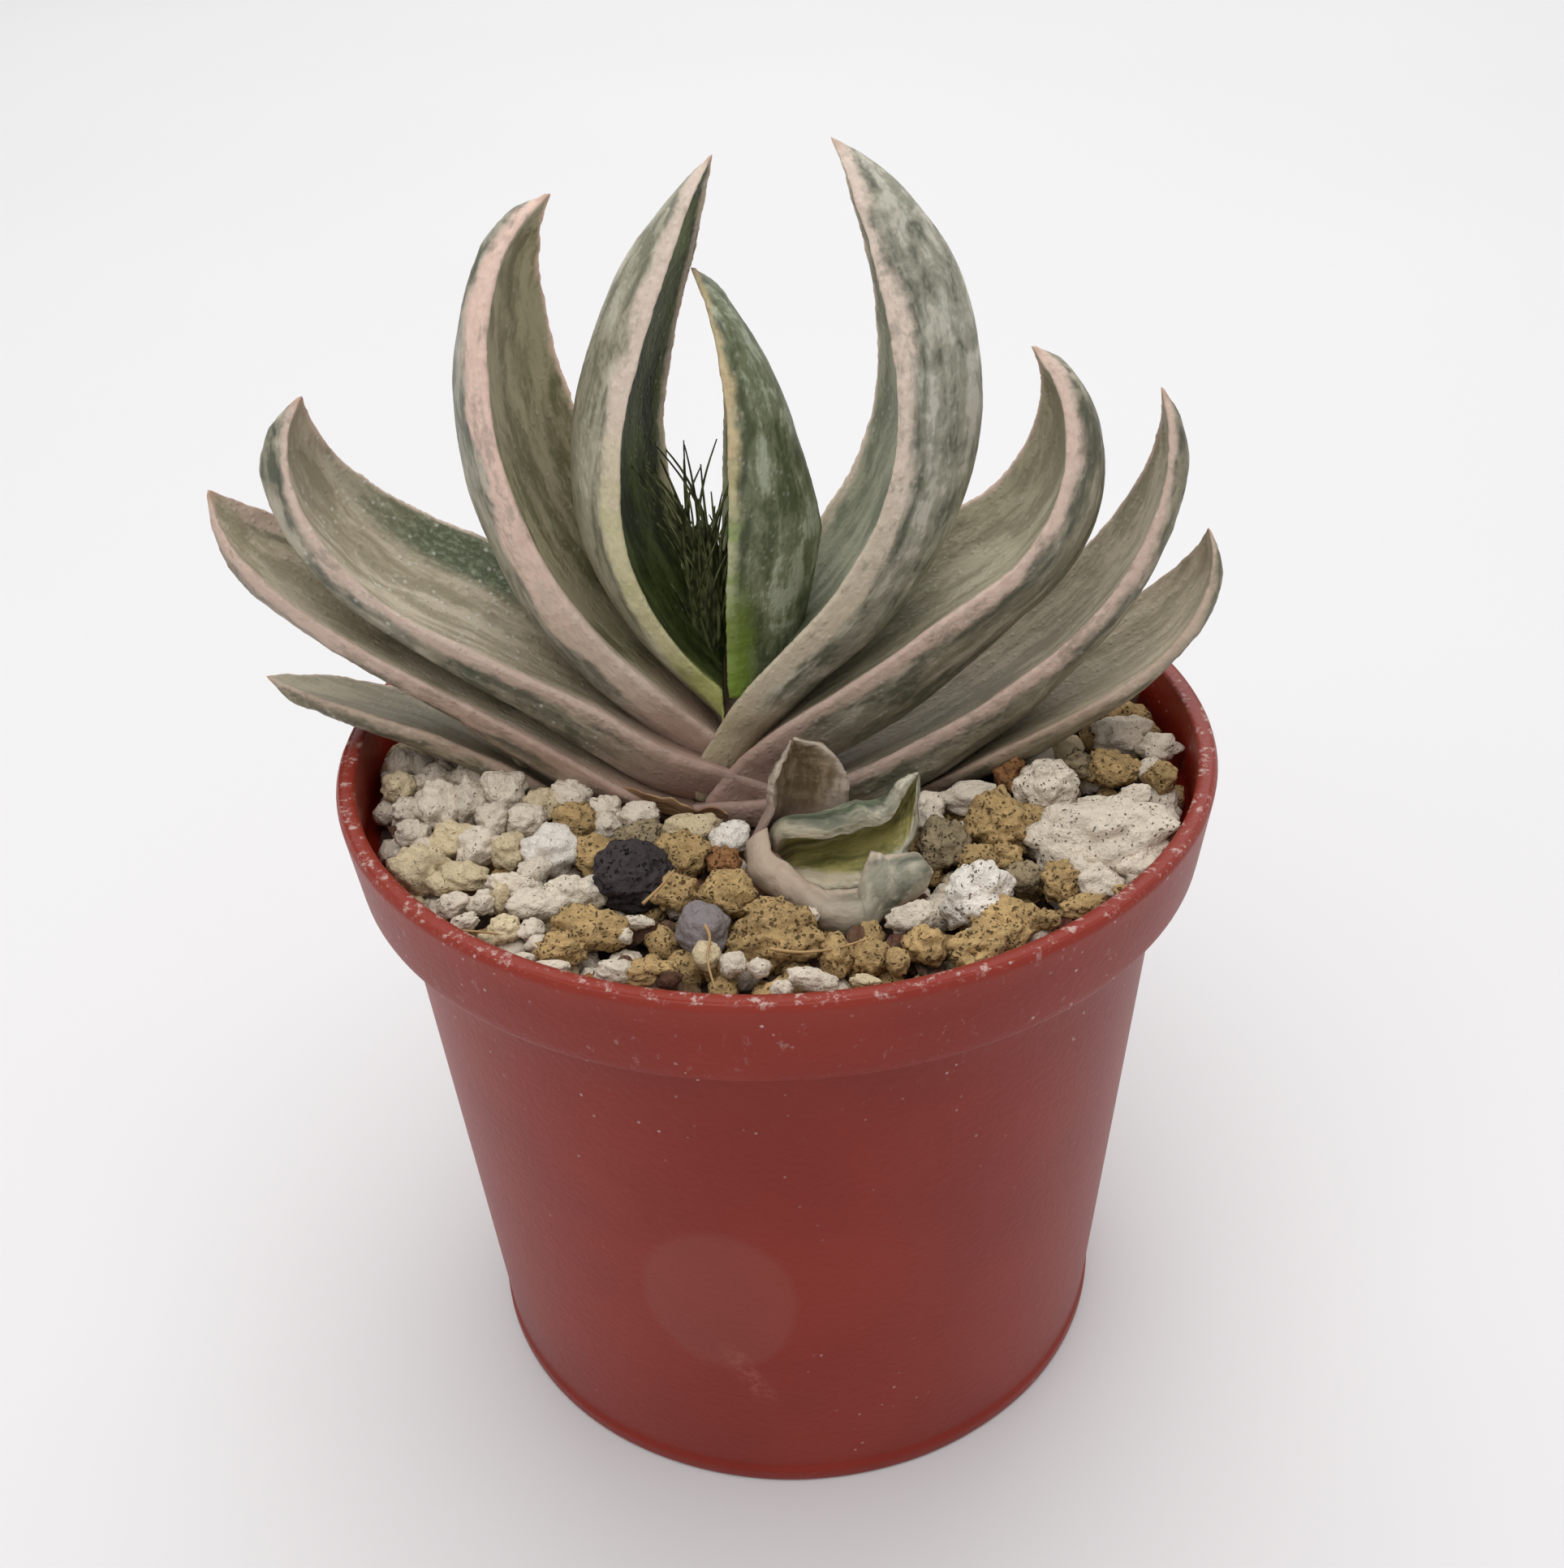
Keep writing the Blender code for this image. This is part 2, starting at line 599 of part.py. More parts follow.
def main():
    """Build the pot, its filling, the plant and the side shoot."""
    for old in list(bpy.data.objects):
        bpy.data.objects.remove(old)
    model = collection_named("potted_gasteria")
    cutters = collection_named("cutters")

    terracotta = finish_material("Brick red plastic", (0.235, 0.032, 0.022), 0.45)
    dark_soil = finish_material("Brown bark soil", (0.06, 0.025, 0.014), 0.95)
    leaf_green = finish_material("Grey green leaf", (0.16, 0.19, 0.14), 0.5)
    pale_stem = finish_material("Pale stem", (0.42, 0.28, 0.22), 0.6)
    fibre = finish_material("Dark olive fibre", (0.05, 0.06, 0.02), 0.8)
    paper = finish_material("Dry sheath", (0.42, 0.27, 0.16), 0.8)
    white_pumice = finish_material("White pumice", (0.68, 0.64, 0.57), 0.95)
    tan_grit = finish_material("Tan grit", (0.42, 0.30, 0.14), 0.95)
    lava = finish_material("Dark lava", (0.06, 0.05, 0.055), 0.95)
    purple = finish_material("Grey purple stone", (0.25, 0.2, 0.22), 0.6)

    pot_object(model, cutters, terracotta)
    soil = soil_object(model, dark_soil)
    stem = stem_object("stem", STEM_PROFILE, STEM_STEPS, (CROWN_X, CROWN_Y), model, pale_stem)
    shoot = stem_object("shoot_stem", SHOOT_PROFILE, SHOOT_STEPS, (SHOOT_X, SHOOT_Y), model,
                        pale_stem)
    stem_cutter = grown_copy(stem, CUTTER_GROWTH, cutters)
    shoot_cutter = grown_copy(shoot, CUTTER_GROWTH, cutters)
    applied_mesh(soil)
    carve(soil, [stem_cutter, shoot_cutter])

    ground = cutter_box("ground", (-90.0, -90.0, 20.0), (90.0, 90.0, REST_LEVEL), cutters)
    underside = cutter_box("underside", (-90.0, -90.0, 20.0), (90.0, 90.0, BED_BOTTOM), cutters)
    right_of_seam = cutter_box("right_of_seam", (CROWN_X - GAP / 2.0, -60.0, 20.0),
                               (90.0, 60.0, SEAM_TOP), cutters)
    left_of_seam = cutter_box("left_of_seam", (-90.0, -60.0, 20.0),
                              (CROWN_X + GAP / 2.0, 60.0, SEAM_TOP), cutters)
    left, left_room = nest_leaves(LEFT_LEAVES, [right_of_seam, ground, stem_cutter], cutters,
                                  model, leaf_green)
    right, right_room = nest_leaves(RIGHT_LEAVES, [left_of_seam, ground, stem_cutter,
                                                   left_room[0]], cutters, model, leaf_green)
    blades = left + right
    clearances = [shoot_cutter]
    for leaf in SHOOT_LEAVES:
        blade = leaf_object(leaf, SHORT_STATIONS, model, leaf_green)
        room = grown_copy(blade, CUTTER_GROWTH, cutters)
        carve(blade, [ground] + clearances)
        clearances.append(room)
        blades.append(blade)
    tuft = tuft_object(model, fibre)
    carve(tuft, [stem_cutter, left_room[0], right_room[0]])
    blades.append(tuft)
    scrap = sheath_object(model, paper)
    carve(scrap, left_room[2:4])
    blades.append(scrap)

    stone_finish = {"lava": lava, "purple": purple, "pumice": white_pumice, "tan": tan_grit}
    taken = []
    for number, spec in enumerate(LOOSE_STONES):
        name, x, y, length, width, height, _ = spec
        loose_stone(spec, 40 + number, model, stone_finish[name.split("_")[0]])
        taken.append((Vector((x, y, REST_LEVEL + height * 0.4)), max(length, width) * 0.56))
    obstacles = [bvh_of(blade) for blade in blades]
    for name, bed_side, finish in (("pumice_bed", -1.0, white_pumice), ("tan_bed", 1.0, tan_grit)):
        bed = grit_bed(name, bed_side, obstacles, taken, model, finish)
        carve(bed, [underside, stem_cutter, shoot_cutter])

    for cutter in list(cutters.objects):
        if not cutter.name.startswith("drain_drill"):
            bpy.data.objects.remove(cutter)


main()
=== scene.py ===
"""Looks of a gasteria with a side shoot, in grit in a round nursery pot.

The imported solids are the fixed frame. Every visible piece is built here on
the same axes: the origin is at the centre of the pot's underside, Z is up, X
runs along the fan of leaves and Y points away from the viewer. Sizes are given
in millimetres and turned into metres by MM.
"""

import logging
import math
import random
from dataclasses import dataclass, field
from enum import Enum
from typing import Any

import bmesh
import bpy
import numpy as np
from mathutils import Euler, Matrix, Vector, noise


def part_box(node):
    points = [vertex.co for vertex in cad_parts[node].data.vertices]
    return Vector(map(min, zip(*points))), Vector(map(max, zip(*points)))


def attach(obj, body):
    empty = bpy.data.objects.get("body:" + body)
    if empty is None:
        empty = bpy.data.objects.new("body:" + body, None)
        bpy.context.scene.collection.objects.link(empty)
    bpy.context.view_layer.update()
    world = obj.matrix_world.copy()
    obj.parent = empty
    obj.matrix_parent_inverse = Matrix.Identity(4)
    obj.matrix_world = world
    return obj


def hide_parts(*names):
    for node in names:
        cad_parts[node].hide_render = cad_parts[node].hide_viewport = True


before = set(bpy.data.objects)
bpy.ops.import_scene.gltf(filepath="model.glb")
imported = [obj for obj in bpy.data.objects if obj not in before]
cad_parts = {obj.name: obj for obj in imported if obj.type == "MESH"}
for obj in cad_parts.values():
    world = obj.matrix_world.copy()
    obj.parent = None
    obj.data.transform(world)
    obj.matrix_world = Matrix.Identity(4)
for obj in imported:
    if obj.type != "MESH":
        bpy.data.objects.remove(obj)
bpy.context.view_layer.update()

log = logging.getLogger("gasteria")

MM = 0.001
POT_HEIGHT = 70.0
RIM_RADIUS = 42.5
RIM_WIDTH = 1.85
COLLAR_HEIGHT = 8.9
COLLAR_FOOT_RADIUS = 41.5
BODY_TOP_RADIUS = 38.3
BASE_RADIUS = 33.5
WALL = 1.1
FLOOR_THICK = 1.4
FOOT_HEIGHT = 1.5
FOOT_PROUD = 0.35
SOIL_TOP = 62.2
BED_INNER_RADIUS = 40.0
CROWN_X = -4.8
SEAM_TOP = 79.5
SEAM_HALF_GAP = 0.15

Colour = tuple[float, float, float]


def linear(red: float, green: float, blue: float) -> Colour:
    """Turn a display colour of 0 to 255 into a linear one.

    Args:
        red: Red share as seen on a display.
        green: Green share as seen on a display.
        blue: Blue share as seen on a display.

    Returns:
        The linear red, green and blue.
    """
    shares = []
    for value in (red, green, blue):
        share = value / 255.0
        shares.append(share / 12.92 if share <= 0.04045 else ((share + 0.055) / 1.055) ** 2.4)
    return shares[0], shares[1], shares[2]


def smooth_curve(knots: tuple[tuple[float, float], ...], places: np.ndarray) -> np.ndarray:
    """Read a smooth curve through (place, value) knots.

    Args:
        knots: The places, rising, and the values there.
        places: Where to read the curve.

    Returns:
        The values at the places, flat beyond the first and last knot.
    """
    xs = np.array([knot[0] for knot in knots])
    ys = np.array([knot[1] for knot in knots])
    steps = np.diff(ys) / np.diff(xs)
    slopes = np.concatenate(([steps[0]], np.zeros(len(xs) - 2), [steps[-1]]))
    for i in range(1, len(xs) - 1):
        if steps[i - 1] * steps[i] > 0.0:
            slopes[i] = 2.0 * steps[i - 1] * steps[i] / (steps[i - 1] + steps[i])
    held = np.clip(places, xs[0], xs[-1])
    low = np.clip(np.searchsorted(xs, held, side="right") - 1, 0, len(xs) - 2)
    width = xs[low + 1] - xs[low]
    t = (held - xs[low]) / width
    return ((2 * t**3 - 3 * t**2 + 1) * ys[low] + (t**3 - 2 * t**2 + t) * width * slopes[low]
            + (3 * t**2 - 2 * t**3) * ys[low + 1] + (t**3 - t**2) * width * slopes[low + 1])


def smooth_step(value: float, low: float, high: float) -> float:
    """Return 0 below low, 1 above high and a smooth rise between them."""
    share = min(max((value - low) / (high - low), 0.0), 1.0)
    return share * share * (3.0 - 2.0 * share)


def column_of(place: Vector, columns: int) -> int:
    """Return the number of the ball's column that a point lies on."""
    return math.floor(math.atan2(place.y, place.x) / (2.0 * math.pi) * columns + 0.25) % columns


def piece_from(bm: bmesh.types.BMesh, name: str, material: bpy.types.Material,
               smooth: bool = True) -> bpy.types.Object:
    """Turn a bmesh in millimetres into a piece in metres that rides on the root.

    Args:
        bm: The finished mesh in millimetres. It is freed.
        name: The piece's name.
        material: Its finish.
        smooth: Whether its faces are shaded smooth.

    Returns:
        The new object, at the origin.
    """
    bmesh.ops.scale(bm, vec=(MM, MM, MM), verts=bm.verts)
    for face in bm.faces:
        face.smooth = smooth
    mesh = bpy.data.meshes.new(name)
    bm.to_mesh(mesh)
    bm.free()
    mesh.materials.append(material)
    piece = bpy.data.objects.new(name, mesh)
    bpy.context.scene.collection.objects.link(piece)
    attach(piece, "root")
    return piece


def pour(source: bmesh.types.BMesh, target: bmesh.types.BMesh) -> None:
    """Add one mesh to another and free it.

    Args:
        source: The mesh to add. It is freed.
        target: The mesh that takes it in, with the same layers.
    """
    carrier = bpy.data.meshes.new("carrier")
    source.to_mesh(carrier)
    source.free()
    target.from_mesh(carrier)
    bpy.data.meshes.remove(carrier)


class NodeSheet:
    """A short hand for laying out the nodes of one material or node group."""

    def __init__(self, tree: bpy.types.NodeTree) -> None:
        """Keep the tree that the nodes go into."""
        self.tree = tree

    def node(self, kind: str, **settings: Any) -> bpy.types.Node:
        """Add a node.

        Args:
            kind: The node's type, without the ShaderNode prefix.
            settings: Properties to set on it.

        Returns:
            The new node.
        """
        made = self.tree.nodes.new("ShaderNode" + kind)
        for name, value in settings.items():
            setattr(made, name, value)
        return made

    def feed(self, socket: bpy.types.NodeSocket, value: Any) -> None:
        """Link a socket to an input, or set the input's own value.

        Args:
            socket: The input.
            value: A socket to link, a number, a vector or a colour.
        """
        if isinstance(value, bpy.types.NodeSocket):
            self.tree.links.new(value, socket)
        elif socket.type == "RGBA":
            socket.default_value = (*value, 1.0)
        else:
            socket.default_value = value

    def maths(self, operation: str, first: Any, second: Any = 0.0, third: Any = None,
              clamp: bool = False) -> bpy.types.NodeSocket:
        """Return the result of a Math node on two or three values."""
        made = self.node("Math", operation=operation, use_clamp=clamp)
        self.feed(made.inputs[0], first)
        self.feed(made.inputs[1], second)
        if third is not None:
            self.feed(made.inputs[2], third)
        return made.outputs[0]

    def blend(self, share: Any, first: Any, second: Any,
              mode: str = "MIX") -> bpy.types.NodeSocket:
        """Return a colour mixed from two by a share from 0 to 1."""
        made = self.node("Mix", data_type="RGBA", blend_type=mode)
        self.feed(made.inputs[0], share)
        self.feed(made.inputs[6], first)
        self.feed(made.inputs[7], second)
        return made.outputs[2]

    def scaled(self, place: Any, factors: tuple[float, float, float],
               shift: Any = (0.0, 0.0, 0.0)) -> bpy.types.NodeSocket:
        """Return a place multiplied along each axis and then shifted."""
        made = self.node("VectorMath", operation="MULTIPLY_ADD")
        self.feed(made.inputs[0], place)
        self.feed(made.inputs[1], factors)
        self.feed(made.inputs[2], shift)
        return made.outputs[0]

    def noise(self, place: Any, scale: float, detail: float = 2.0,
              roughness: float = 0.5) -> bpy.types.NodeSocket:
        """Return a noise value from 0 to 1 at a place."""
        made = self.node("TexNoise")
        self.feed(made.inputs["Vector"], place)
        made.inputs["Scale"].default_value = scale
        made.inputs["Detail"].default_value = detail
        made.inputs["Roughness"].default_value = roughness
        return made.outputs[0]

    def cells(self, place: Any, scale: float, randomness: float = 1.0) -> bpy.types.NodeSocket:
        """Return the distance to the nearest of many scattered points."""
        made = self.node("TexVoronoi")
        self.feed(made.inputs["Vector"], place)
        made.inputs["Scale"].default_value = scale
        made.inputs["Randomness"].default_value = randomness
        return made.outputs["Distance"]

    def step(self, value: Any, low: Any, high: Any) -> bpy.types.NodeSocket:
        """Return a smooth step from 0 at low to 1 at high; low may be the larger."""
        made = self.node("MapRange", interpolation_type="SMOOTHSTEP")
        self.feed(made.inputs["Value"], value)
        self.feed(made.inputs["From Min"], low)
        self.feed(made.inputs["From Max"], high)
        return made.outputs[0]

    def attribute(self, name: str) -> bpy.types.Node:
        """Return a node that reads one of the mesh's own attributes."""
        return self.node("Attribute", attribute_name=name)

    def place(self, millimetres: bool = True) -> bpy.types.NodeSocket:
        """Return the object's own coordinates, in millimetres or metres."""
        coordinates = self.node("TexCoord").outputs["Object"]
        return self.scaled(coordinates, (1000.0,) * 3) if millimetres else coordinates


def new_group(name: str, inputs: tuple[tuple[str, str, Any], ...],
              outputs: tuple[tuple[str, str], ...]) -> tuple[NodeSheet, Any, Any]:
    """Start a shader node group.

    Args:
        name: The group's name.
        inputs: Name, socket kind (Color, Float or Vector) and default of each input.
        outputs: Name and socket kind of each output.

    Returns:
        The sheet to lay its nodes on, its input node and its output node.
    """
    tree = bpy.data.node_groups.new(name, "ShaderNodeTree")
    for label, kind, value in inputs:
        socket = tree.interface.new_socket(label, in_out="INPUT", socket_type="NodeSocket" + kind)
        socket.default_value = (*value, 1.0) if kind == "Color" else value
    for label, kind in outputs:
        tree.interface.new_socket(label, in_out="OUTPUT", socket_type="NodeSocket" + kind)
    entry = tree.nodes.new("NodeGroupInput")
    leave = tree.nodes.new("NodeGroupOutput")
    return NodeSheet(tree), entry, leave


def new_material(name: str) -> tuple[bpy.types.Material, NodeSheet, bpy.types.Node]:
    """Start a Principled material.

    Args:
        name: The material's name.

    Returns:
        The material, the sheet of its nodes and its Principled shader.
    """
    material = bpy.data.materials.new(name)
    material.use_nodes = True
    sheet = NodeSheet(material.node_tree)
    return material, sheet, material.node_tree.nodes["Principled BSDF"]


def add_bump(sheet: NodeSheet, shader: bpy.types.Node, height: Any, depth: float) -> None:
    """Lead a height through a Bump node to a shader.

    Args:
        sheet: The material's sheet.
        shader: The Principled shader.
        height: The height from 0 to 1.
        depth: How deep a height of 1 is, in metres.
    """
    bump = sheet.node("Bump")
    bump.inputs["Distance"].default_value = depth
    sheet.feed(bump.inputs["Height"], height)
    sheet.feed(shader.inputs["Normal"], bump.outputs[0])


@dataclass(frozen=True)
class SkinTone:
    """Colours and pattern of one leaf, as seen on a display, 0 to 255."""

    dark: Colour = (84, 92, 80)
    middle: Colour = (116, 121, 106)
    pale: Colour = (152, 156, 142)
    inner_dark: Colour = (92, 92, 66)
    inner_pale: Colour = (138, 134, 108)
    stripe: Colour = (208, 182, 166)
    stripe_low: Colour = (196, 182, 164)
    base: Colour = (160, 132, 124)
    base_reach: float = 0.2
    base_spread: float = 60.0
    stripe_width: float = 0.9
    bands: float = 0.3
    dots: float = 0.25
    crack: float = 0.0
    beads: float = 0.0
    far: float = 0.0
    far_band: float = 0.6
    seed: float = 0.0


class LeafSkin:
    """The mottled, warty skin that all the leaves share, as one node group."""

    INPUTS = (("Dark", "Color", (0.1, 0.1, 0.1)), ("Middle", "Color", (0.2, 0.2, 0.2)),
              ("Pale", "Color", (0.3, 0.3, 0.3)), ("Inner dark", "Color", (0.1, 0.1, 0.1)),
              ("Inner pale", "Color", (0.2, 0.2, 0.2)), ("Stripe", "Color", (0.5, 0.5, 0.5)),
              ("Stripe low", "Color", (0.5, 0.5, 0.5)), ("Base", "Color", (0.3, 0.3, 0.3)),
              ("Base reach", "Float", 0.2), ("Base spread", "Float", 60.0),
              ("Far band", "Float", 0.6), ("Stripe width", "Float", 0.9),
              ("Bands", "Float", 0.3), ("Dots", "Float", 0.25), ("Crack", "Float", 0.0),
              ("Beads", "Float", 0.0), ("Far strip", "Float", 0.0), ("Far side", "Float", 0.0),
              ("Seed", "Float", 0.0))

    def __init__(self) -> None:
        """Build the group once."""
        sheet, entry, leave = new_group("Leaf skin", self.INPUTS, (
            ("Color", "Color"), ("Roughness", "Float"), ("Height", "Float")))
        self.tree = sheet.tree
        given = entry.outputs
        straight = sheet.attribute("straight").outputs["Vector"]
        run = sheet.attribute("run").outputs["Fac"]
        rim = sheet.attribute("rim").outputs["Fac"]
        inner = sheet.attribute("inner").outputs["Fac"]
        shift = sheet.node("CombineXYZ")
        for axis in range(3):
            sheet.feed(shift.inputs[axis], given["Seed"])
        shift_out = shift.outputs[0]
        bend = sheet.node("TexNoise")
        sheet.feed(bend.inputs["Vector"], sheet.scaled(straight, (0.22, 0.30, 0.30), shift_out))
        bend.inputs["Scale"].default_value = 1.0
        bent = sheet.scaled(bend.outputs["Color"], (5.0, 2.2, 2.2), straight)
        long_streaks = sheet.noise(sheet.scaled(bent, (0.09, 0.55, 0.55), shift_out), 1.0, 3.0, 0.6)
        blotches = sheet.noise(sheet.scaled(bent, (0.20, 0.30, 0.30), shift_out), 1.0, 3.0, 0.6)
        cross_bands = sheet.noise(sheet.scaled(bent, (0.36, 0.16, 0.16), shift_out), 1.0, 3.0, 0.6)
        fine = sheet.noise(sheet.scaled(straight, (1.3, 2.2, 2.2), shift_out), 1.0, 4.0, 0.6)
        bands_share = given["Bands"]
        plain = sheet.maths("MULTIPLY_ADD", long_streaks, 0.55,
                            sheet.maths("MULTIPLY", blotches, 0.45))
        banded = sheet.maths("MULTIPLY_ADD", cross_bands, 0.7,
                             sheet.maths("MULTIPLY", long_streaks, 0.3))
        plain_part = sheet.maths("MULTIPLY", plain, sheet.maths("SUBTRACT", 1.0, bands_share))
        mottle = sheet.maths("ADD", plain_part, sheet.maths("MULTIPLY", banded, bands_share))
        mottle = sheet.maths("MULTIPLY_ADD", sheet.maths("SUBTRACT", fine, 0.5), 0.16, mottle)
        outer = sheet.blend(sheet.step(mottle, 0.41, 0.51), given["Dark"], given["Middle"])
        outer = sheet.blend(sheet.step(mottle, 0.50, 0.61), outer, given["Pale"])
        hollow = sheet.blend(sheet.step(sheet.maths("MULTIPLY_ADD", long_streaks, 0.8,
                                                    sheet.maths("MULTIPLY", fine, 0.2)), 0.38, 0.62),
                             given["Inner dark"], given["Inner pale"])
        colour = sheet.blend(inner, outer, hollow)

        edge_noise = sheet.maths("SUBTRACT", sheet.noise(
            sheet.scaled(straight, (0.30, 0.5, 0.5), shift_out), 1.0, 4.0, 0.65), 0.5)
        ragged = sheet.maths("MULTIPLY_ADD", edge_noise, 2.2, rim)
        slow = sheet.noise(sheet.scaled(straight, (0.13, 0.0, 0.0), shift_out), 1.0, 1.0, 0.4)
        stripe_span = sheet.maths("MULTIPLY", sheet.maths("MULTIPLY_ADD", slow, 1.5, 0.20),
                                  sheet.maths("MULTIPLY_ADD", sheet.step(run, 0.70, 0.95), -0.45, 1.0))
        near = sheet.maths("SUBTRACT", ragged, sheet.maths(
            "MULTIPLY", given["Stripe width"], stripe_span))
        # Painted shadow: a streaky dark band on the outer face, just beyond the pale margin stripe.
        beside = sheet.maths("MULTIPLY", sheet.step(near, -0.1, 0.25), sheet.step(near, 1.7, 0.6))
        streaky = sheet.step(sheet.noise(sheet.scaled(straight, (0.22, 0.9, 0.9), shift_out),
                                         1.0, 2.0, 0.5), 0.46, 0.60)
        outside = sheet.maths("SUBTRACT", 1.0, inner)
        shadow_line_share = sheet.maths("MULTIPLY", sheet.maths("MULTIPLY", beside, streaky),
                                 sheet.maths("MULTIPLY", outside, 0.8))
        shadow_line_colour = sheet.blend(0.5, given["Dark"], linear(52, 58, 48))
        colour = sheet.blend(shadow_line_share, colour, shadow_line_colour)

        stripe_tone = sheet.blend(sheet.step(sheet.maths("MULTIPLY_ADD", edge_noise, 0.5, run),
                                             0.62, 0.25), given["Stripe"], given["Stripe low"])
        bead_wave = sheet.noise(sheet.scaled(straight, (0.55, 0.05, 0.05), shift_out), 1.0, 1.0, 0.4)
        bead_mask = sheet.maths("MULTIPLY", sheet.step(bead_wave, 0.42, 0.60),
                                sheet.maths("MULTIPLY", given["Beads"], sheet.step(run, 0.62, 0.30)))
        stripe_tone = sheet.blend(sheet.maths("MULTIPLY", bead_mask, 0.75), stripe_tone, given["Base"])
        grain = sheet.blend(sheet.step(fine, 0.35, 0.65), sheet.blend(
            0.14, stripe_tone, linear(120, 96, 84)), stripe_tone)
        inner_reach = sheet.maths("MULTIPLY_ADD", sheet.step(run, 0.66, 0.22), -1.5, -0.9)
        stripe_mask = sheet.maths("MULTIPLY", sheet.step(near, 0.75, -0.55), sheet.step(
            sheet.maths("MULTIPLY_ADD", edge_noise, 1.6, rim), inner_reach, sheet.maths(
                "ADD", inner_reach, 0.9)))
        stripe_mask = sheet.maths("MULTIPLY", stripe_mask, sheet.maths(
            "MULTIPLY_ADD", sheet.step(mottle, 0.49, 0.40), -0.38, 1.0))
        colour = sheet.blend(stripe_mask, colour, grain)

        apart = sheet.node("SeparateXYZ")
        sheet.feed(apart.inputs[0], straight)
        far_way = sheet.maths("MULTIPLY", apart.outputs["Y"], given["Far side"])
        far_side = sheet.step(far_way, 0.6, 1.8)
        depth_in = sheet.maths("MULTIPLY_ADD", edge_noise, -1.4, sheet.maths("MULTIPLY", rim, -1.0))
        past_band = sheet.maths("SUBTRACT", depth_in, given["Far band"])
        far_band = sheet.maths("MULTIPLY", far_side, sheet.step(past_band, 0.4, -0.3))
        colour = sheet.blend(sheet.maths("MULTIPLY", sheet.maths("MULTIPLY", far_band, inner), 0.75),
                             colour, stripe_tone)
        far_line = sheet.maths("MULTIPLY", sheet.step(sheet.maths("ABSOLUTE", sheet.maths(
            "SUBTRACT", past_band, 0.5)), 0.55, 0.12), sheet.maths("MULTIPLY", far_side, inner))
        far_line = sheet.maths("MULTIPLY", far_line, sheet.step(given["Far band"], 0.8, 1.8))
        colour = sheet.blend(sheet.maths("MULTIPLY", far_line, sheet.maths(
            "MULTIPLY", sheet.step(long_streaks, 0.42, 0.56), 0.6)), colour, linear(66, 66, 44))
        far_strip = sheet.maths("MULTIPLY", sheet.step(far_way, 2.4, 4.2), sheet.maths(
            "MULTIPLY", sheet.maths("MULTIPLY", given["Far strip"], inner), sheet.step(run, 0.95, 0.6)))
        colour = sheet.blend(sheet.maths("MULTIPLY", far_strip, 0.85), colour, sheet.blend(
            sheet.step(fine, 0.45, 0.62), linear(68, 84, 58), linear(112, 124, 98)))

        crack_line = sheet.maths("MULTIPLY", sheet.step(sheet.maths("ABSOLUTE", sheet.maths(
            "MULTIPLY_ADD", edge_noise, 0.8, sheet.maths("ADD", rim, 0.45))), 0.14, 0.05),
            sheet.step(sheet.noise(sheet.scaled(straight, (0.16, 0.0, 0.0), shift_out),
                                   1.0, 1.0, 0.4), 0.50, 0.56))
        crack_share = sheet.maths("MULTIPLY", crack_line, given["Crack"])
        colour = sheet.blend(crack_share, colour, linear(48, 46, 30))

        warts = sheet.cells(sheet.scaled(straight, (1.15, 1.15, 1.15), shift_out), 1.0)
        wart_peak = sheet.step(warts, 0.36, 0.08)
        wart_where = sheet.step(sheet.noise(sheet.scaled(straight, (0.35, 0.35, 0.35), shift_out),
                                            1.0, 2.0, 0.5), 0.46, 0.62)
        wart_share = sheet.maths("MULTIPLY", wart_peak,
                                 sheet.maths("MULTIPLY", wart_where, given["Dots"]))
        colour = sheet.blend(wart_share, colour, linear(206, 204, 194))

        root_share = sheet.step(sheet.maths("MULTIPLY_ADD", edge_noise, 0.12, run), given["Base reach"],
                                sheet.maths("MULTIPLY_ADD", given["Base reach"], 0.35, -0.06))
        root_share = sheet.maths("MULTIPLY", root_share, sheet.step(sheet.maths(
            "ABSOLUTE", ragged), given["Base spread"], sheet.maths(
                "MULTIPLY", given["Base spread"], 0.4)))
        colour = sheet.blend(sheet.maths("MULTIPLY", root_share, 0.82), colour,
                             sheet.blend(sheet.step(long_streaks, 0.4, 0.6), given["Base"],
                                         sheet.blend(0.16, given["Base"], linear(90, 66, 56))))
        tip_share = sheet.step(run, 0.975, 0.995)
        colour = sheet.blend(sheet.maths("MULTIPLY", tip_share, 0.7), colour, linear(176, 146, 122))
        sheet.feed(leave.inputs["Color"], colour)
        rough = sheet.maths("MULTIPLY_ADD", fine, 0.22,
                            sheet.maths("MULTIPLY_ADD", stripe_mask, 0.10, 0.38))
        sheet.feed(leave.inputs["Roughness"], rough)
        height = sheet.maths("MULTIPLY_ADD", wart_peak, 0.22, sheet.maths("MULTIPLY", fine, 0.55))
        height = sheet.maths("MULTIPLY_ADD", long_streaks, 0.5, height)
        sheet.feed(leave.inputs["Height"], height)

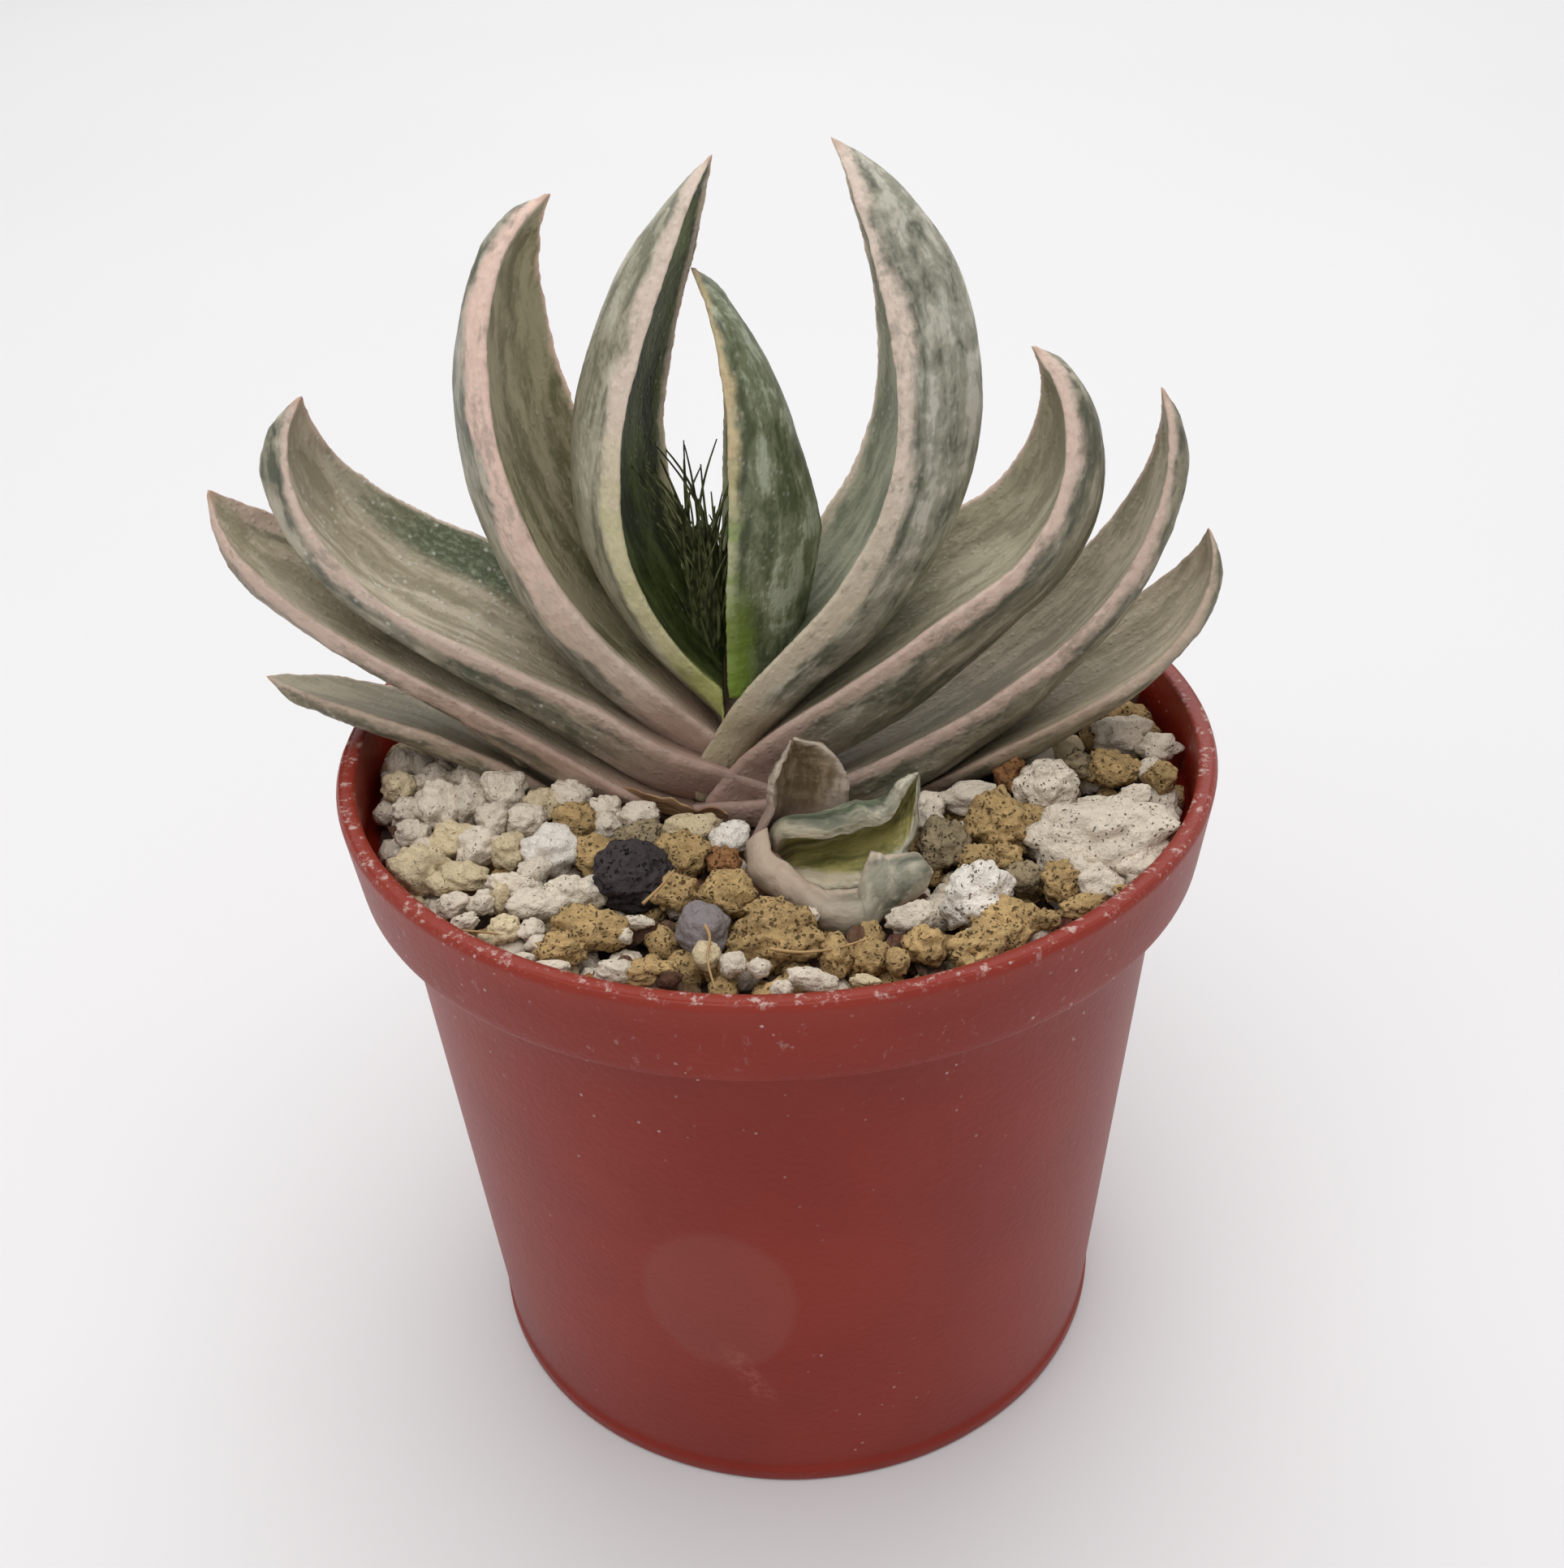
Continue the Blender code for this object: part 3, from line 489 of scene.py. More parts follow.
    def material(self, name: str, tone: SkinTone, far_side: float = 0.0) -> bpy.types.Material:
        """Return a leaf's own material.

        Args:
            name: The material's name.
            tone: The leaf's colours and pattern.
            far_side: Sign of the margin that the viewer sees from within, or 0.

        Returns:
            A Principled material around the shared skin group.
        """
        material, sheet, shader = new_material(name)
        skin = sheet.node("Group", node_tree=self.tree)
        for label, value in (("Dark", tone.dark), ("Middle", tone.middle), ("Pale", tone.pale),
                             ("Inner dark", tone.inner_dark), ("Inner pale", tone.inner_pale),
                             ("Stripe", tone.stripe), ("Stripe low", tone.stripe_low),
                             ("Base", tone.base)):
            skin.inputs[label].default_value = (*linear(*value), 1.0)
        for label, value in (("Base reach", tone.base_reach), ("Base spread", tone.base_spread),
                             ("Far band", tone.far_band), ("Stripe width", tone.stripe_width),
                             ("Bands", tone.bands), ("Dots", tone.dots), ("Crack", tone.crack),
                             ("Beads", tone.beads), ("Far strip", tone.far),
                             ("Far side", far_side), ("Seed", tone.seed)):
            skin.inputs[label].default_value = value
        sheet.feed(shader.inputs["Base Color"], skin.outputs["Color"])
        sheet.feed(shader.inputs["Roughness"], skin.outputs["Roughness"])
        shader.inputs["Subsurface Weight"].default_value = 0.08
        shader.inputs["Subsurface Scale"].default_value = 0.0015
        shader.inputs["Specular IOR Level"].default_value = 0.42
        add_bump(sheet, shader, skin.outputs["Height"], 0.00022)
        return material


class Side(Enum):
    """Which rank of the fan a leaf stands in."""

    LEFT = "left"
    RIGHT = "right"


HALF_WIDTH_KNOTS = ((0.0, 0.84), (0.15, 0.96), (0.35, 1.0), (0.55, 0.95), (0.75, 0.76),
                    (0.88, 0.50), (0.95, 0.27), (0.983, 0.10), (1.0, 0.02))
SECTION_COLUMNS = (4, 3, 3, 4, 6, 5, 4, 4, 5, 6)
LOOP_SAMPLES = 240


@dataclass(frozen=True)
class Blade:
    """One thick leaf: a bent blade with a keel below, a hollow above and blunt edges.

    Lengths are in millimetres and angles in degrees. The rise is the heading
    above level at even steps from root to tip, and the turn is 0 to the right,
    180 to the left and -90 towards the viewer.
    """

    name: str
    side: Side
    root: tuple[float, float, float]
    length: float
    rise: tuple[float, ...]
    turn: float
    roll: float
    half_width: float
    keel: float
    keel_fade: float
    channel: float
    edge: float
    sheath: float
    tone: SkinTone = field(default_factory=SkinTone)
    rings: int = 190
    wave: float = 0.16
    warts: float = 0.05
    crossing: float = 0.0
    wrap: float = 0.0
    collar: float = 0.0

    def path(self, shares: np.ndarray) -> tuple[np.ndarray, np.ndarray]:
        """Follow the bent middle line of the blade.

        Args:
            shares: Places along the length, 0 at the root and 1 at the tip.
                Those below 0 lie on the sheath, straight back from the root.

        Returns:
            The points, one row each, and the headings in radians.
        """
        samples = 400
        knots = np.linspace(0.0, 1.0, len(self.rise))
        middle = (np.arange(samples) + 0.5) / samples
        angles = np.radians(np.interp(middle, knots, self.rise))
        turn = math.radians(self.turn)
        flat = np.array([math.cos(turn), math.sin(turn), 0.0])
        up = np.array([0.0, 0.0, 1.0])
        steps = (np.cos(angles)[:, None] * flat + np.sin(angles)[:, None] * up)
        points = np.vstack([np.zeros(3), np.cumsum(steps * self.length / samples, axis=0)])
        points += np.array(self.root)
        place = np.clip(shares, 0.0, 1.0) * samples
        low = np.minimum(place.astype(int), samples - 1)
        found = points[low] + (points[low + 1] - points[low]) * (place - low)[:, None]
        first = math.radians(self.rise[0])
        back = math.cos(first) * flat + math.sin(first) * up
        found += np.minimum(shares, 0.0)[:, None] * self.length * back
        return found, np.radians(np.interp(np.clip(shares, 0.0, 1.0), knots, self.rise))

    def corners(self, share: float) -> np.ndarray:
        """Return the ten corners of the section at a place, as across and above pairs."""
        held = max(share, 0.0)
        half = self.half_width * float(smooth_curve(HALF_WIDTH_KNOTS, np.array([held]))[0])
        fade = max(1.0 - held**self.keel_fade, 0.04)
        depth = self.keel * min(0.75 + 0.25 * share / 0.3, 1.0) * fade
        slim = min(1.0, half / (0.45 * self.half_width))
        edge = self.edge * slim * (1.0 + self.collar * smooth_step(held, 0.66, 0.04))
        depth = max(depth, edge * 1.25)
        hollow = min(self.channel * slim * fade**0.5, depth - 0.8 * slim)
        flank = edge + (depth - edge) * 0.66
        return np.array([
            (half, 0.0), (half * 0.55, -hollow * 0.72), (0.0, -hollow),
            (-half * 0.55, -hollow * 0.72), (-half, 0.0), (-half * 0.97, -edge),
            (-half * 0.56, -flank), (0.0, -depth), (half * 0.56, -flank),
            (half * 0.97, -edge)])

    def section(self, share: float) -> tuple[np.ndarray, np.ndarray]:
        """Round the section's corners off and place the columns on it.

        Args:
            share: Place along the length.

        Returns:
            The columns' across and above pairs, and their distances from the
            blunt edge's upper corner, negative on the upper side.
        """
        corners = self.corners(share)
        closed = np.vstack([corners, corners[:1]])
        spans = np.linalg.norm(np.diff(closed, axis=0), axis=1)
        marks = np.concatenate(([0.0], np.cumsum(spans)))
        round_trip = marks[-1]
        even = np.arange(LOOP_SAMPLES) * round_trip / LOOP_SAMPLES
        loop = np.stack([np.interp(even, marks, closed[:, axis]) for axis in (0, 1)], axis=1)
        width = abs(corners[0][0])
        tight = min(0.55, 0.22 * width)
        wide = min(1.5, 0.30 * width)
        crisp = self.blurred(loop, tight / round_trip * LOOP_SAMPLES)
        soft = self.blurred(loop, wide / round_trip * LOOP_SAMPLES)
        places = []
        for index, count in enumerate(SECTION_COLUMNS):
            for step in range(count):
                part = step / count
                if index in (0, 5):
                    part = part**1.25
                elif index in (3, 8):
                    part = 1.0 - (1.0 - part)**1.25
                places.append(marks[index] + part * spans[index])
        places = np.array(places)
        upper = places < marks[4]
        lower = np.minimum(places - marks[4], round_trip - places)
        rim = np.where(upper, -np.minimum(places, marks[4] - places), lower)
        edge = min(spans[4], self.edge)
        away = np.maximum(np.maximum(-rim, rim - edge), 0.0)
        share_soft = np.clip((away - 0.6) / 1.8, 0.0, 1.0)[:, None]
        index = places / round_trip * LOOP_SAMPLES
        low = index.astype(int) % LOOP_SAMPLES
        part = (index - np.floor(index))[:, None]
        high = (low + 1) % LOOP_SAMPLES
        crisp_at = crisp[low] * (1.0 - part) + crisp[high] * part
        soft_at = soft[low] * (1.0 - part) + soft[high] * part
        return crisp_at * (1.0 - share_soft) + soft_at * share_soft, rim

    @staticmethod
    def blurred(loop: np.ndarray, spread: float) -> np.ndarray:
        """Return a closed loop smoothed by a bell curve of a given spread in samples."""
        waves = np.fft.fftfreq(len(loop))
        bell = np.exp(-2.0 * (math.pi * waves * spread)**2)[:, None]
        return np.real(np.fft.ifft(np.fft.fft(loop, axis=0) * bell, axis=0))

    def held_back(self, point: np.ndarray) -> np.ndarray:
        """Keep a point on its own side of the fan's seam and out of the soil."""
        slack = max(0.0, point[2] - SEAM_TOP) * 2.0 + self.crossing - SEAM_HALF_GAP
        if self.side is Side.LEFT:
            point[0] = min(point[0], CROWN_X + slack)
        elif self.side is Side.RIGHT:
            point[0] = max(point[0], CROWN_X - slack)
        point[2] = max(point[2], SOIL_TOP + 0.4)
        return point

    def build(self, skin: LeafSkin) -> bpy.types.Object:
        """Shape a ball's rings and columns into the blade and dress it.

        Args:
            skin: The skin that the leaves share.

        Returns:
            The finished leaf.
        """
        columns = sum(SECTION_COLUMNS)
        start = -self.sheath / self.length
        spread = np.linspace(0.0, 1.0, self.rings + 1)
        shares = start + (1.0 - start) * spread**0.96
        shares[0] = start - 0.01
        centres, headings = self.path(shares)
        turn, roll = math.radians(self.turn), math.radians(self.roll)
        side = np.array([-math.sin(turn), math.cos(turn), 0.0])
        bm = bmesh.new()
        straight = bm.verts.layers.float_vector.new("straight")
        along = bm.verts.layers.float.new("run")
        rim = bm.verts.layers.float.new("rim")
        inner = bm.verts.layers.float.new("inner")
        bmesh.ops.create_uvsphere(bm, u_segments=columns, v_segments=self.rings, radius=1.0)
        sections = [self.section(float(share)) for share in shares]
        for vert in bm.verts:
            ring = round(math.acos(max(-1.0, min(1.0, vert.co.z))) / math.pi * self.rings)
            heading = headings[ring]
            above = np.array([-math.sin(heading) * math.cos(turn),
                              -math.sin(heading) * math.sin(turn), math.cos(heading)])
            across = side * math.cos(roll) + above * math.sin(roll)
            over = above * math.cos(roll) - side * math.sin(roll)
            share = float(shares[ring])
            if ring in (0, self.rings):
                wide, high, edge_way = 0.0, -(0.02 if ring else 0.5 * self.keel), 1.0
            else:
                column = column_of(vert.co, columns)
                places, rims = sections[ring]
                wide, high = places[column]
                edge_way = float(rims[column])
            point = centres[ring] + across * wide + over * high
            toward = max(0.0, (self.root[1] - point[1]) / self.half_width)
            point[1] -= self.wrap * smooth_step(share, 0.34, 0.02) * toward
            vert.co = self.held_back(point)
            vert[straight] = (share * self.length, wide, high)
            vert[along] = share
            vert[rim] = edge_way
            vert[inner] = smooth_step(-edge_way, 0.0, 0.8)
        bmesh.ops.recalc_face_normals(bm, faces=bm.faces)
        self.roughen(bm, straight, along, rim)
        return piece_from(bm, self.name + "_skin", skin.material(
            self.name + " skin", self.tone, -1.0 if self.side is Side.LEFT else 1.0))

    def roughen(self, bm: bmesh.types.BMesh, straight: Any, along: Any, rim: Any) -> None:
        """Raise warts on the blunt edges and let the faces swell a little.

        Args:
            bm: The blade's mesh in millimetres.
            straight: Layer of the blade's unbent coordinates.
            along: Layer of the share of the length.
            rim: Layer of the distance from the edge's upper corner.
        """
        bm.normal_update()
        offset = Vector((self.tone.seed * 3.7, self.tone.seed * 1.9, 0.0))
        moves = []
        for vert in bm.verts:
            place = vert[straight] + offset
            swell = noise.noise(place * 0.16) * self.wave + noise.noise(place * 0.5) * 0.05
            middle = 0.5 * self.edge
            near = smooth_step(abs(vert[rim] - middle), middle + 1.2, middle)
            cell = noise.voronoi(place * 1.55)[0][0]
            wart = max(0.0, 1.0 - (cell / 0.52)**2)
            ripple = noise.noise(place * 0.9) * 0.10 * near
            fade = smooth_step(vert[along], 1.0, 0.95) if vert[along] > 0.9 else 1.0
            lift = (swell + ripple + wart * (self.warts * near + 0.025)) * fade
            moves.append(vert.normal * lift)
        for vert, move in zip(bm.verts, moves):
            vert.co += move


FAN = (
    Blade("leaf_left_1", Side.LEFT, (-4.0, 3.0, 77.5), 49.6, (51, 68, 91, 106, 110, 106), 180, -14,
          7.6, 7.6, 5.0, 2.6, 1.9, 9.0,
          SkinTone(dark=(126, 124, 104), middle=(166, 162, 141), pale=(196, 192, 174),
                   inner_dark=(48, 56, 24), inner_pale=(96, 108, 58), stripe=(222, 204, 188),
                   stripe_low=(210, 204, 162), base=(164, 170, 92), base_reach=0.16,
                   stripe_width=2.3, bands=0.25, crack=0.9, beads=0.35, far_band=1.0,
                   base_spread=4.0, seed=1.3),
          crossing=0.0, wrap=-1.0, collar=0.3),
    Blade("leaf_left_2", Side.LEFT, (-3.2, 3.0, 73.0), 54.8, (50, 47, 65, 78, 94, 127), 180, -22,
          8.0, 11.0, 3.0, 3.2, 2.8, 9.0,
          SkinTone(dark=(112, 112, 96), middle=(160, 156, 140), pale=(190, 184, 168),
                   inner_dark=(120, 116, 84), inner_pale=(178, 170, 140), stripe=(234, 204, 188),
                   stripe_low=(212, 194, 176), base=(184, 156, 142), base_reach=0.24,
                   stripe_width=3.2, bands=0.1, seed=2.7), crossing=0.3, wrap=0.9, collar=1.2),
    Blade("leaf_left_3", Side.LEFT, (-3.4, 3.0, 70.2), 54.4, (26, 36, 29, 31, 55, 106), 180, -16,
          8.2, 9.5, 2.8, 3.4, 3.6, 9.0,
          SkinTone(dark=(92, 94, 78), middle=(138, 134, 115), pale=(176, 168, 150),
                   inner_dark=(146, 136, 112), inner_pale=(190, 178, 156), stripe=(212, 190, 174),
                   stripe_low=(196, 174, 158), base=(172, 142, 130), base_reach=0.30,
                   stripe_width=1.7, bands=0.1, dots=0.7, far=1.0, seed=4.1),
          crossing=4.2, wrap=1.9, collar=1.0),
    Blade("leaf_left_4", Side.LEFT, (-5.0, 3.0, 65.9), 55.7, (16, 33, 35, 30, 32, 58), 180, -20,
          8.0, 9.5, 4.0, 3.0, 2.6, 9.0,
          SkinTone(dark=(112, 106, 88), middle=(146, 132, 114), pale=(172, 158, 142),
                   inner_dark=(158, 148, 122), inner_pale=(196, 184, 160), stripe=(204, 180, 164),
                   stripe_low=(182, 156, 140), base=(168, 138, 124), base_reach=0.36,
                   stripe_width=2.2, bands=0.2, dots=0.4, far_band=2.2, seed=5.6),
          crossing=2.6, wrap=2.9, collar=1.2),
    Blade("leaf_left_5", Side.LEFT, (-20.0, 3.0, 62.9), 32.8, (33, 38, 29, 20, 19, 6), 180, 12,
          6.0, 3.9, 5.0, 1.0, 1.9, 16.0,
          SkinTone(dark=(98, 92, 72), middle=(134, 124, 102), pale=(164, 152, 130),
                   inner_dark=(128, 120, 94), inner_pale=(160, 150, 122), stripe=(188, 168, 148),
                   stripe_low=(168, 146, 128), base=(140, 116, 104), base_reach=0.2,
                   stripe_width=1.0, seed=6.2), rings=130),
    Blade("leaf_right_1", Side.RIGHT, (-4.8, 3.0, 80.0), 35.2, (90, 85, 86, 88, 98, 110), 0, 2,
          7.0, 11.4, 1.8, 2.2, 1.7, 5.0,
          SkinTone(dark=(78, 86, 58), middle=(116, 122, 92), pale=(170, 176, 154),
                   inner_dark=(60, 74, 30), inner_pale=(98, 108, 62), stripe=(208, 188, 146),
                   stripe_low=(192, 196, 158), base=(112, 140, 40), base_reach=0.3,
                   stripe_width=1.1, bands=0.35, beads=0.9, base_spread=4.0, seed=7.9), rings=150),
    Blade("leaf_right_2", Side.RIGHT, (-5.9, 3.0, 73.2), 57.9, (60, 45, 62, 88, 104, 107), 0, 3,
          8.2, 10.0, 6.5, 2.8, 2.1, 9.0,
          SkinTone(dark=(98, 100, 84), middle=(148, 146, 128), pale=(194, 190, 174),
                   inner_dark=(112, 116, 92), inner_pale=(160, 160, 136), stripe=(226, 208, 192),
                   stripe_low=(204, 192, 168), base=(176, 164, 134), base_reach=0.14,
                   stripe_width=2.2, bands=0.6, seed=9.4), crossing=3.4, wrap=0.0, collar=1.0),
    Blade("leaf_right_3", Side.RIGHT, (-5.6, 3.0, 69.2), 52.8, (53, 30, 37, 33, 77, 120), 0, 8,
          8.2, 12.0, 3.4, 3.4, 2.9, 9.0,
          SkinTone(dark=(90, 90, 72), middle=(130, 126, 106), pale=(170, 164, 145),
                   inner_dark=(140, 134, 108), inner_pale=(184, 176, 150), stripe=(218, 194, 178),
                   stripe_low=(196, 172, 156), base=(172, 142, 130), base_reach=0.26,
                   stripe_width=2.1, bands=0.2, seed=11.2), crossing=2.4, wrap=1.4, collar=1.5),
    Blade("leaf_right_4", Side.RIGHT, (-5.2, 3.0, 65.3), 61.2, (3, 21, 32, 42, 66, 101), 0, -2,
          8.0, 8.5, 2.2, 3.0, 2.3, 9.0,
          SkinTone(dark=(92, 90, 74), middle=(130, 124, 104), pale=(166, 160, 140),
                   inner_dark=(138, 130, 106), inner_pale=(182, 170, 146), stripe=(206, 182, 166),
                   stripe_low=(182, 158, 144), base=(158, 130, 118), base_reach=0.26,
                   stripe_width=1.5, bands=0.2, seed=12.8), crossing=3.6, wrap=2.4, collar=1.7),
    Blade("leaf_right_5", Side.RIGHT, (13.5, 3.0, 64.8), 38.2, (34, 31, 27, 31, 51, 91), 0, 3,
          7.6, 7.0, 2.7, 2.4, 1.7, 18.0,
          SkinTone(dark=(112, 108, 88), middle=(148, 138, 116), pale=(168, 158, 134),
                   inner_dark=(168, 156, 130), inner_pale=(206, 194, 168), stripe=(192, 172, 152),
                   stripe_low=(172, 150, 130), base=(134, 112, 96), base_reach=0.2,
                   stripe_width=1.1, seed=14.6), rings=150),
)

Point = tuple[float, float, float]


@dataclass(frozen=True)
class CupLeaf:
    """One leaf of the side shoot: a thick wall that cups between two free margins.

    Each row crosses the hollow face from the first margin over the deepest
    place to the second margin, in millimetres, and the rows run root to tip.
    """

    name: str
    rows: tuple[tuple[Point, Point, Point], ...]
    thick: float
    fold: float
    tone: SkinTone
    rings: int = 84
    across: int = 18

    def rail(self, column: int, shares: np.ndarray) -> np.ndarray:
        """Follow one rail from root to tip.

        Args:
            column: Which point of the rows the rail passes.
            shares: Places along the length.

        Returns:
            The rail's points, one row each.
        """
        marks = np.linspace(0.0, 1.0, len(self.rows))
        return np.stack([smooth_curve(tuple(
            (mark, row[column][axis]) for mark, row in zip(marks, self.rows)), shares)
            for axis in range(3)], axis=1)

    def face(self, rails: np.ndarray, u: float) -> np.ndarray:
        """Return the hollow face's point at a place across one ring."""
        first, shadow_line_colour, last = rails
        handle = 2.0 * shadow_line_colour - 0.5 * (first + last)
        round_way = (1.0 - u)**2 * first + 2.0 * u * (1.0 - u) * handle + u * u * last
        sharp = (first + (shadow_line_colour - first) * 2.0 * u if u < 0.5
                 else shadow_line_colour + (last - shadow_line_colour) * (2.0 * u - 1.0))
        return round_way + (sharp - round_way) * self.fold

    def build(self, skin: LeafSkin) -> bpy.types.Object:
        """Shape a ball's rings and columns into the cupped wall and dress it.

        Args:
            skin: The skin that the leaves share.

        Returns:
            The finished leaf.
        """
        shares = np.linspace(0.0, 1.0, self.rings + 1)
        rails = np.stack([self.rail(column, shares) for column in range(3)], axis=1)
        middle = rails.mean(axis=1)
        ahead = np.gradient(middle, axis=0)
        length = float(np.linalg.norm(np.diff(middle, axis=0), axis=1).sum())
        columns = 2 * self.across
        bm = bmesh.new()
        straight = bm.verts.layers.float_vector.new("straight")
        along = bm.verts.layers.float.new("run")
        rim = bm.verts.layers.float.new("rim")
        inner = bm.verts.layers.float.new("inner")
        bmesh.ops.create_uvsphere(bm, u_segments=columns, v_segments=self.rings, radius=1.0)
        for vert in bm.verts:
            ring = round(math.acos(max(-1.0, min(1.0, vert.co.z))) / math.pi * self.rings)
            column = column_of(vert.co, columns)
            outside = column > self.across
            u = column / self.across if not outside else 2.0 - column / self.across
            if ring in (0, self.rings):
                u, outside = 0.5, False
            row = rails[ring]
            point = self.face(row, u)
            slope = self.face(row, min(u + 0.05, 1.0)) - self.face(row, max(u - 0.05, 0.0))
            away = np.cross(slope, ahead[ring])
            away /= max(float(np.linalg.norm(away)), 1e-9)
            if float(np.dot(away, row[1] - 0.5 * (row[0] + row[2]))) < 0.0:
                away = -away
            share = float(shares[ring])
            width = float(np.linalg.norm(row[2] - row[1]) + np.linalg.norm(row[1] - row[0]))
            thick = self.thick * min(1.0, (width / (4.0 * self.thick))**0.7)
            if outside:
                point = point + away * thick * (4.0 * u * (1.0 - u))**0.3
            to_margin = min(u, 1.0 - u) * width
            wobble = noise.noise_vector(Vector((share * length * 0.9, 4.0 * u, self.tone.seed)))
            point = point + np.array(wobble) * 0.22 * smooth_step(share, 0.0, 0.2)
            point[2] = max(point[2], SOIL_TOP + 0.4)
            vert.co = point
            vert[straight] = (share * length, (u - 0.5) * width, 2.0 if outside else 0.0)
            vert[along] = share
            vert[rim] = to_margin if outside else -to_margin
            vert[inner] = 0.0 if outside else smooth_step(to_margin, 0.0, 0.6)
        bmesh.ops.recalc_face_normals(bm, faces=bm.faces)
        return piece_from(bm, self.name + "_skin", skin.material(self.name + " skin", self.tone))


SHOOT = (
    CupLeaf("shoot_leaf_1", (
        ((-3.2, -14.8, 64.2), (-1.2, -10.6, 63.8), (3.6, -11.2, 63.8)),
        ((-0.4, -14.0, 69.8), (0.8, -10.5, 67.3), (6.3, -12.0, 67.5)),
        ((-0.4, -13.5, 71.5), (1.5, -10.0, 70.1), (6.7, -12.5, 70.9)),
        ((0.2, -12.8, 72.9), (1.7, -10.0, 72.3), (6.2, -12.3, 73.0)),
        ((0.9, -11.8, 73.9), (1.8, -10.5, 73.9), (4.5, -11.6, 74.7)),
        ((1.5, -11.0, 75.5), (1.5, -11.0, 75.5), (1.5, -11.0, 75.5))), 1.1, 0.35,
        SkinTone(dark=(112, 100, 84), middle=(146, 132, 114), pale=(170, 158, 140),
                 inner_dark=(112, 94, 68), inner_pale=(164, 144, 118), stripe=(196, 182, 164),
                 stripe_low=(186, 168, 152), base=(158, 132, 122), base_reach=0.34,
                 stripe_width=0.5, dots=0.05, seed=16.0)),
    CupLeaf("shoot_leaf_2", (
        ((-0.6, -15.6, 65.8), (-0.9, -13.4, 63.6), (-0.8, -17.6, 65.2)),
        ((0.4, -17.0, 68.7), (1.6, -13.0, 65.0), (1.8, -19.2, 65.5)),
        ((4.5, -17.6, 69.0), (4.3, -13.2, 65.6), (4.6, -20.4, 65.3)),
        ((7.8, -17.6, 69.8), (7.2, -13.8, 67.1), (7.1, -20.4, 65.5)),
        ((9.9, -17.4, 70.5), (9.4, -14.4, 68.0), (9.6, -18.8, 66.6)),
        ((11.3, -16.6, 72.4), (11.5, -15.2, 70.2), (11.2, -17.8, 67.0)),
        ((12.3, -15.6, 73.6), (12.4, -15.2, 72.2), (12.2, -16.4, 69.8)),
        ((12.8, -15.0, 73.8), (12.8, -15.0, 73.8), (12.8, -15.0, 73.8))), 2.6, 0.6,
        SkinTone(dark=(80, 88, 70), middle=(118, 126, 104), pale=(168, 170, 148),
                 inner_dark=(104, 102, 56), inner_pale=(170, 160, 98), stripe=(206, 198, 176),
                 stripe_low=(188, 176, 150), base=(160, 140, 120), base_reach=0.16,
                 stripe_width=0.3, bands=0.3, dots=0.05, seed=17.0)),
    CupLeaf("shoot_leaf_3", (
        ((-1.0, -14.4, 68.2), (-2.0, -15.0, 67.6), (-2.7, -14.6, 66.4)),
        ((-0.8, -16.6, 67.0), (-1.8, -17.8, 66.4), (-2.6, -17.2, 65.0)),
        ((1.2, -18.8, 66.3), (0.5, -20.4, 65.8), (0.0, -19.8, 63.9)),
        ((2.7, -20.5, 65.6), (2.3, -22.4, 65.5), (2.3, -22.0, 63.8)),
        ((4.9, -21.5, 65.6), (4.5, -24.0, 65.1), (4.4, -24.0, 63.1)),
        ((7.1, -21.0, 65.4), (7.1, -24.0, 65.2), (7.0, -24.5, 63.5)),
        ((8.1, -20.0, 69.0), (8.4, -22.6, 66.4), (9.1, -23.0, 64.0)),
        ((9.3, -19.5, 68.0), (10.2, -22.0, 67.0), (11.2, -22.0, 64.7)),
        ((11.8, -19.5, 68.0), (12.4, -21.2, 67.3), (12.9, -21.5, 65.9)),
        ((13.7, -20.5, 66.8), (13.7, -20.5, 66.8), (13.7, -20.5, 66.8))), 0.9, 0.1,
        SkinTone(dark=(96, 100, 84), middle=(134, 132, 114), pale=(172, 164, 146),
                 inner_dark=(104, 96, 70), inner_pale=(148, 138, 112), stripe=(204, 188, 168),
                 stripe_low=(198, 178, 158), base=(190, 168, 148), base_reach=0.74,
                 stripe_width=0.7, dots=0.05, seed=18.0), rings=120),
)


class GrainKind(Enum):
    """What a grain of grit is made of."""

    PUMICE = "pumice"
    CREAM = "cream"
    BRIGHT = "bright"
    TAN = "tan"
    ORANGE = "orange"
    GREY = "grey"
    BARK = "bark"
    LAVA = "lava"
    PURPLE = "purple"


GRAIN_TONES = {
    GrainKind.PUMICE: (226, 213, 194), GrainKind.CREAM: (220, 202, 166),
    GrainKind.BRIGHT: (240, 232, 220), GrainKind.TAN: (186, 156, 108),
    GrainKind.ORANGE: (152, 108, 70), GrainKind.GREY: (150, 134, 106),
    GrainKind.BARK: (82, 56, 42), GrainKind.LAVA: (68, 60, 62), GrainKind.PURPLE: (142, 134, 134),
}


@dataclass(frozen=True)
class Grain:
    """One grain: place of its centre and its length, depth and height in millimetres."""

    kind: GrainKind
    x: float
    y: float
    z: float
    length: float
    depth: float
    height: float
    seed: int
    turn: float = 0.0
    rounds: int = 4


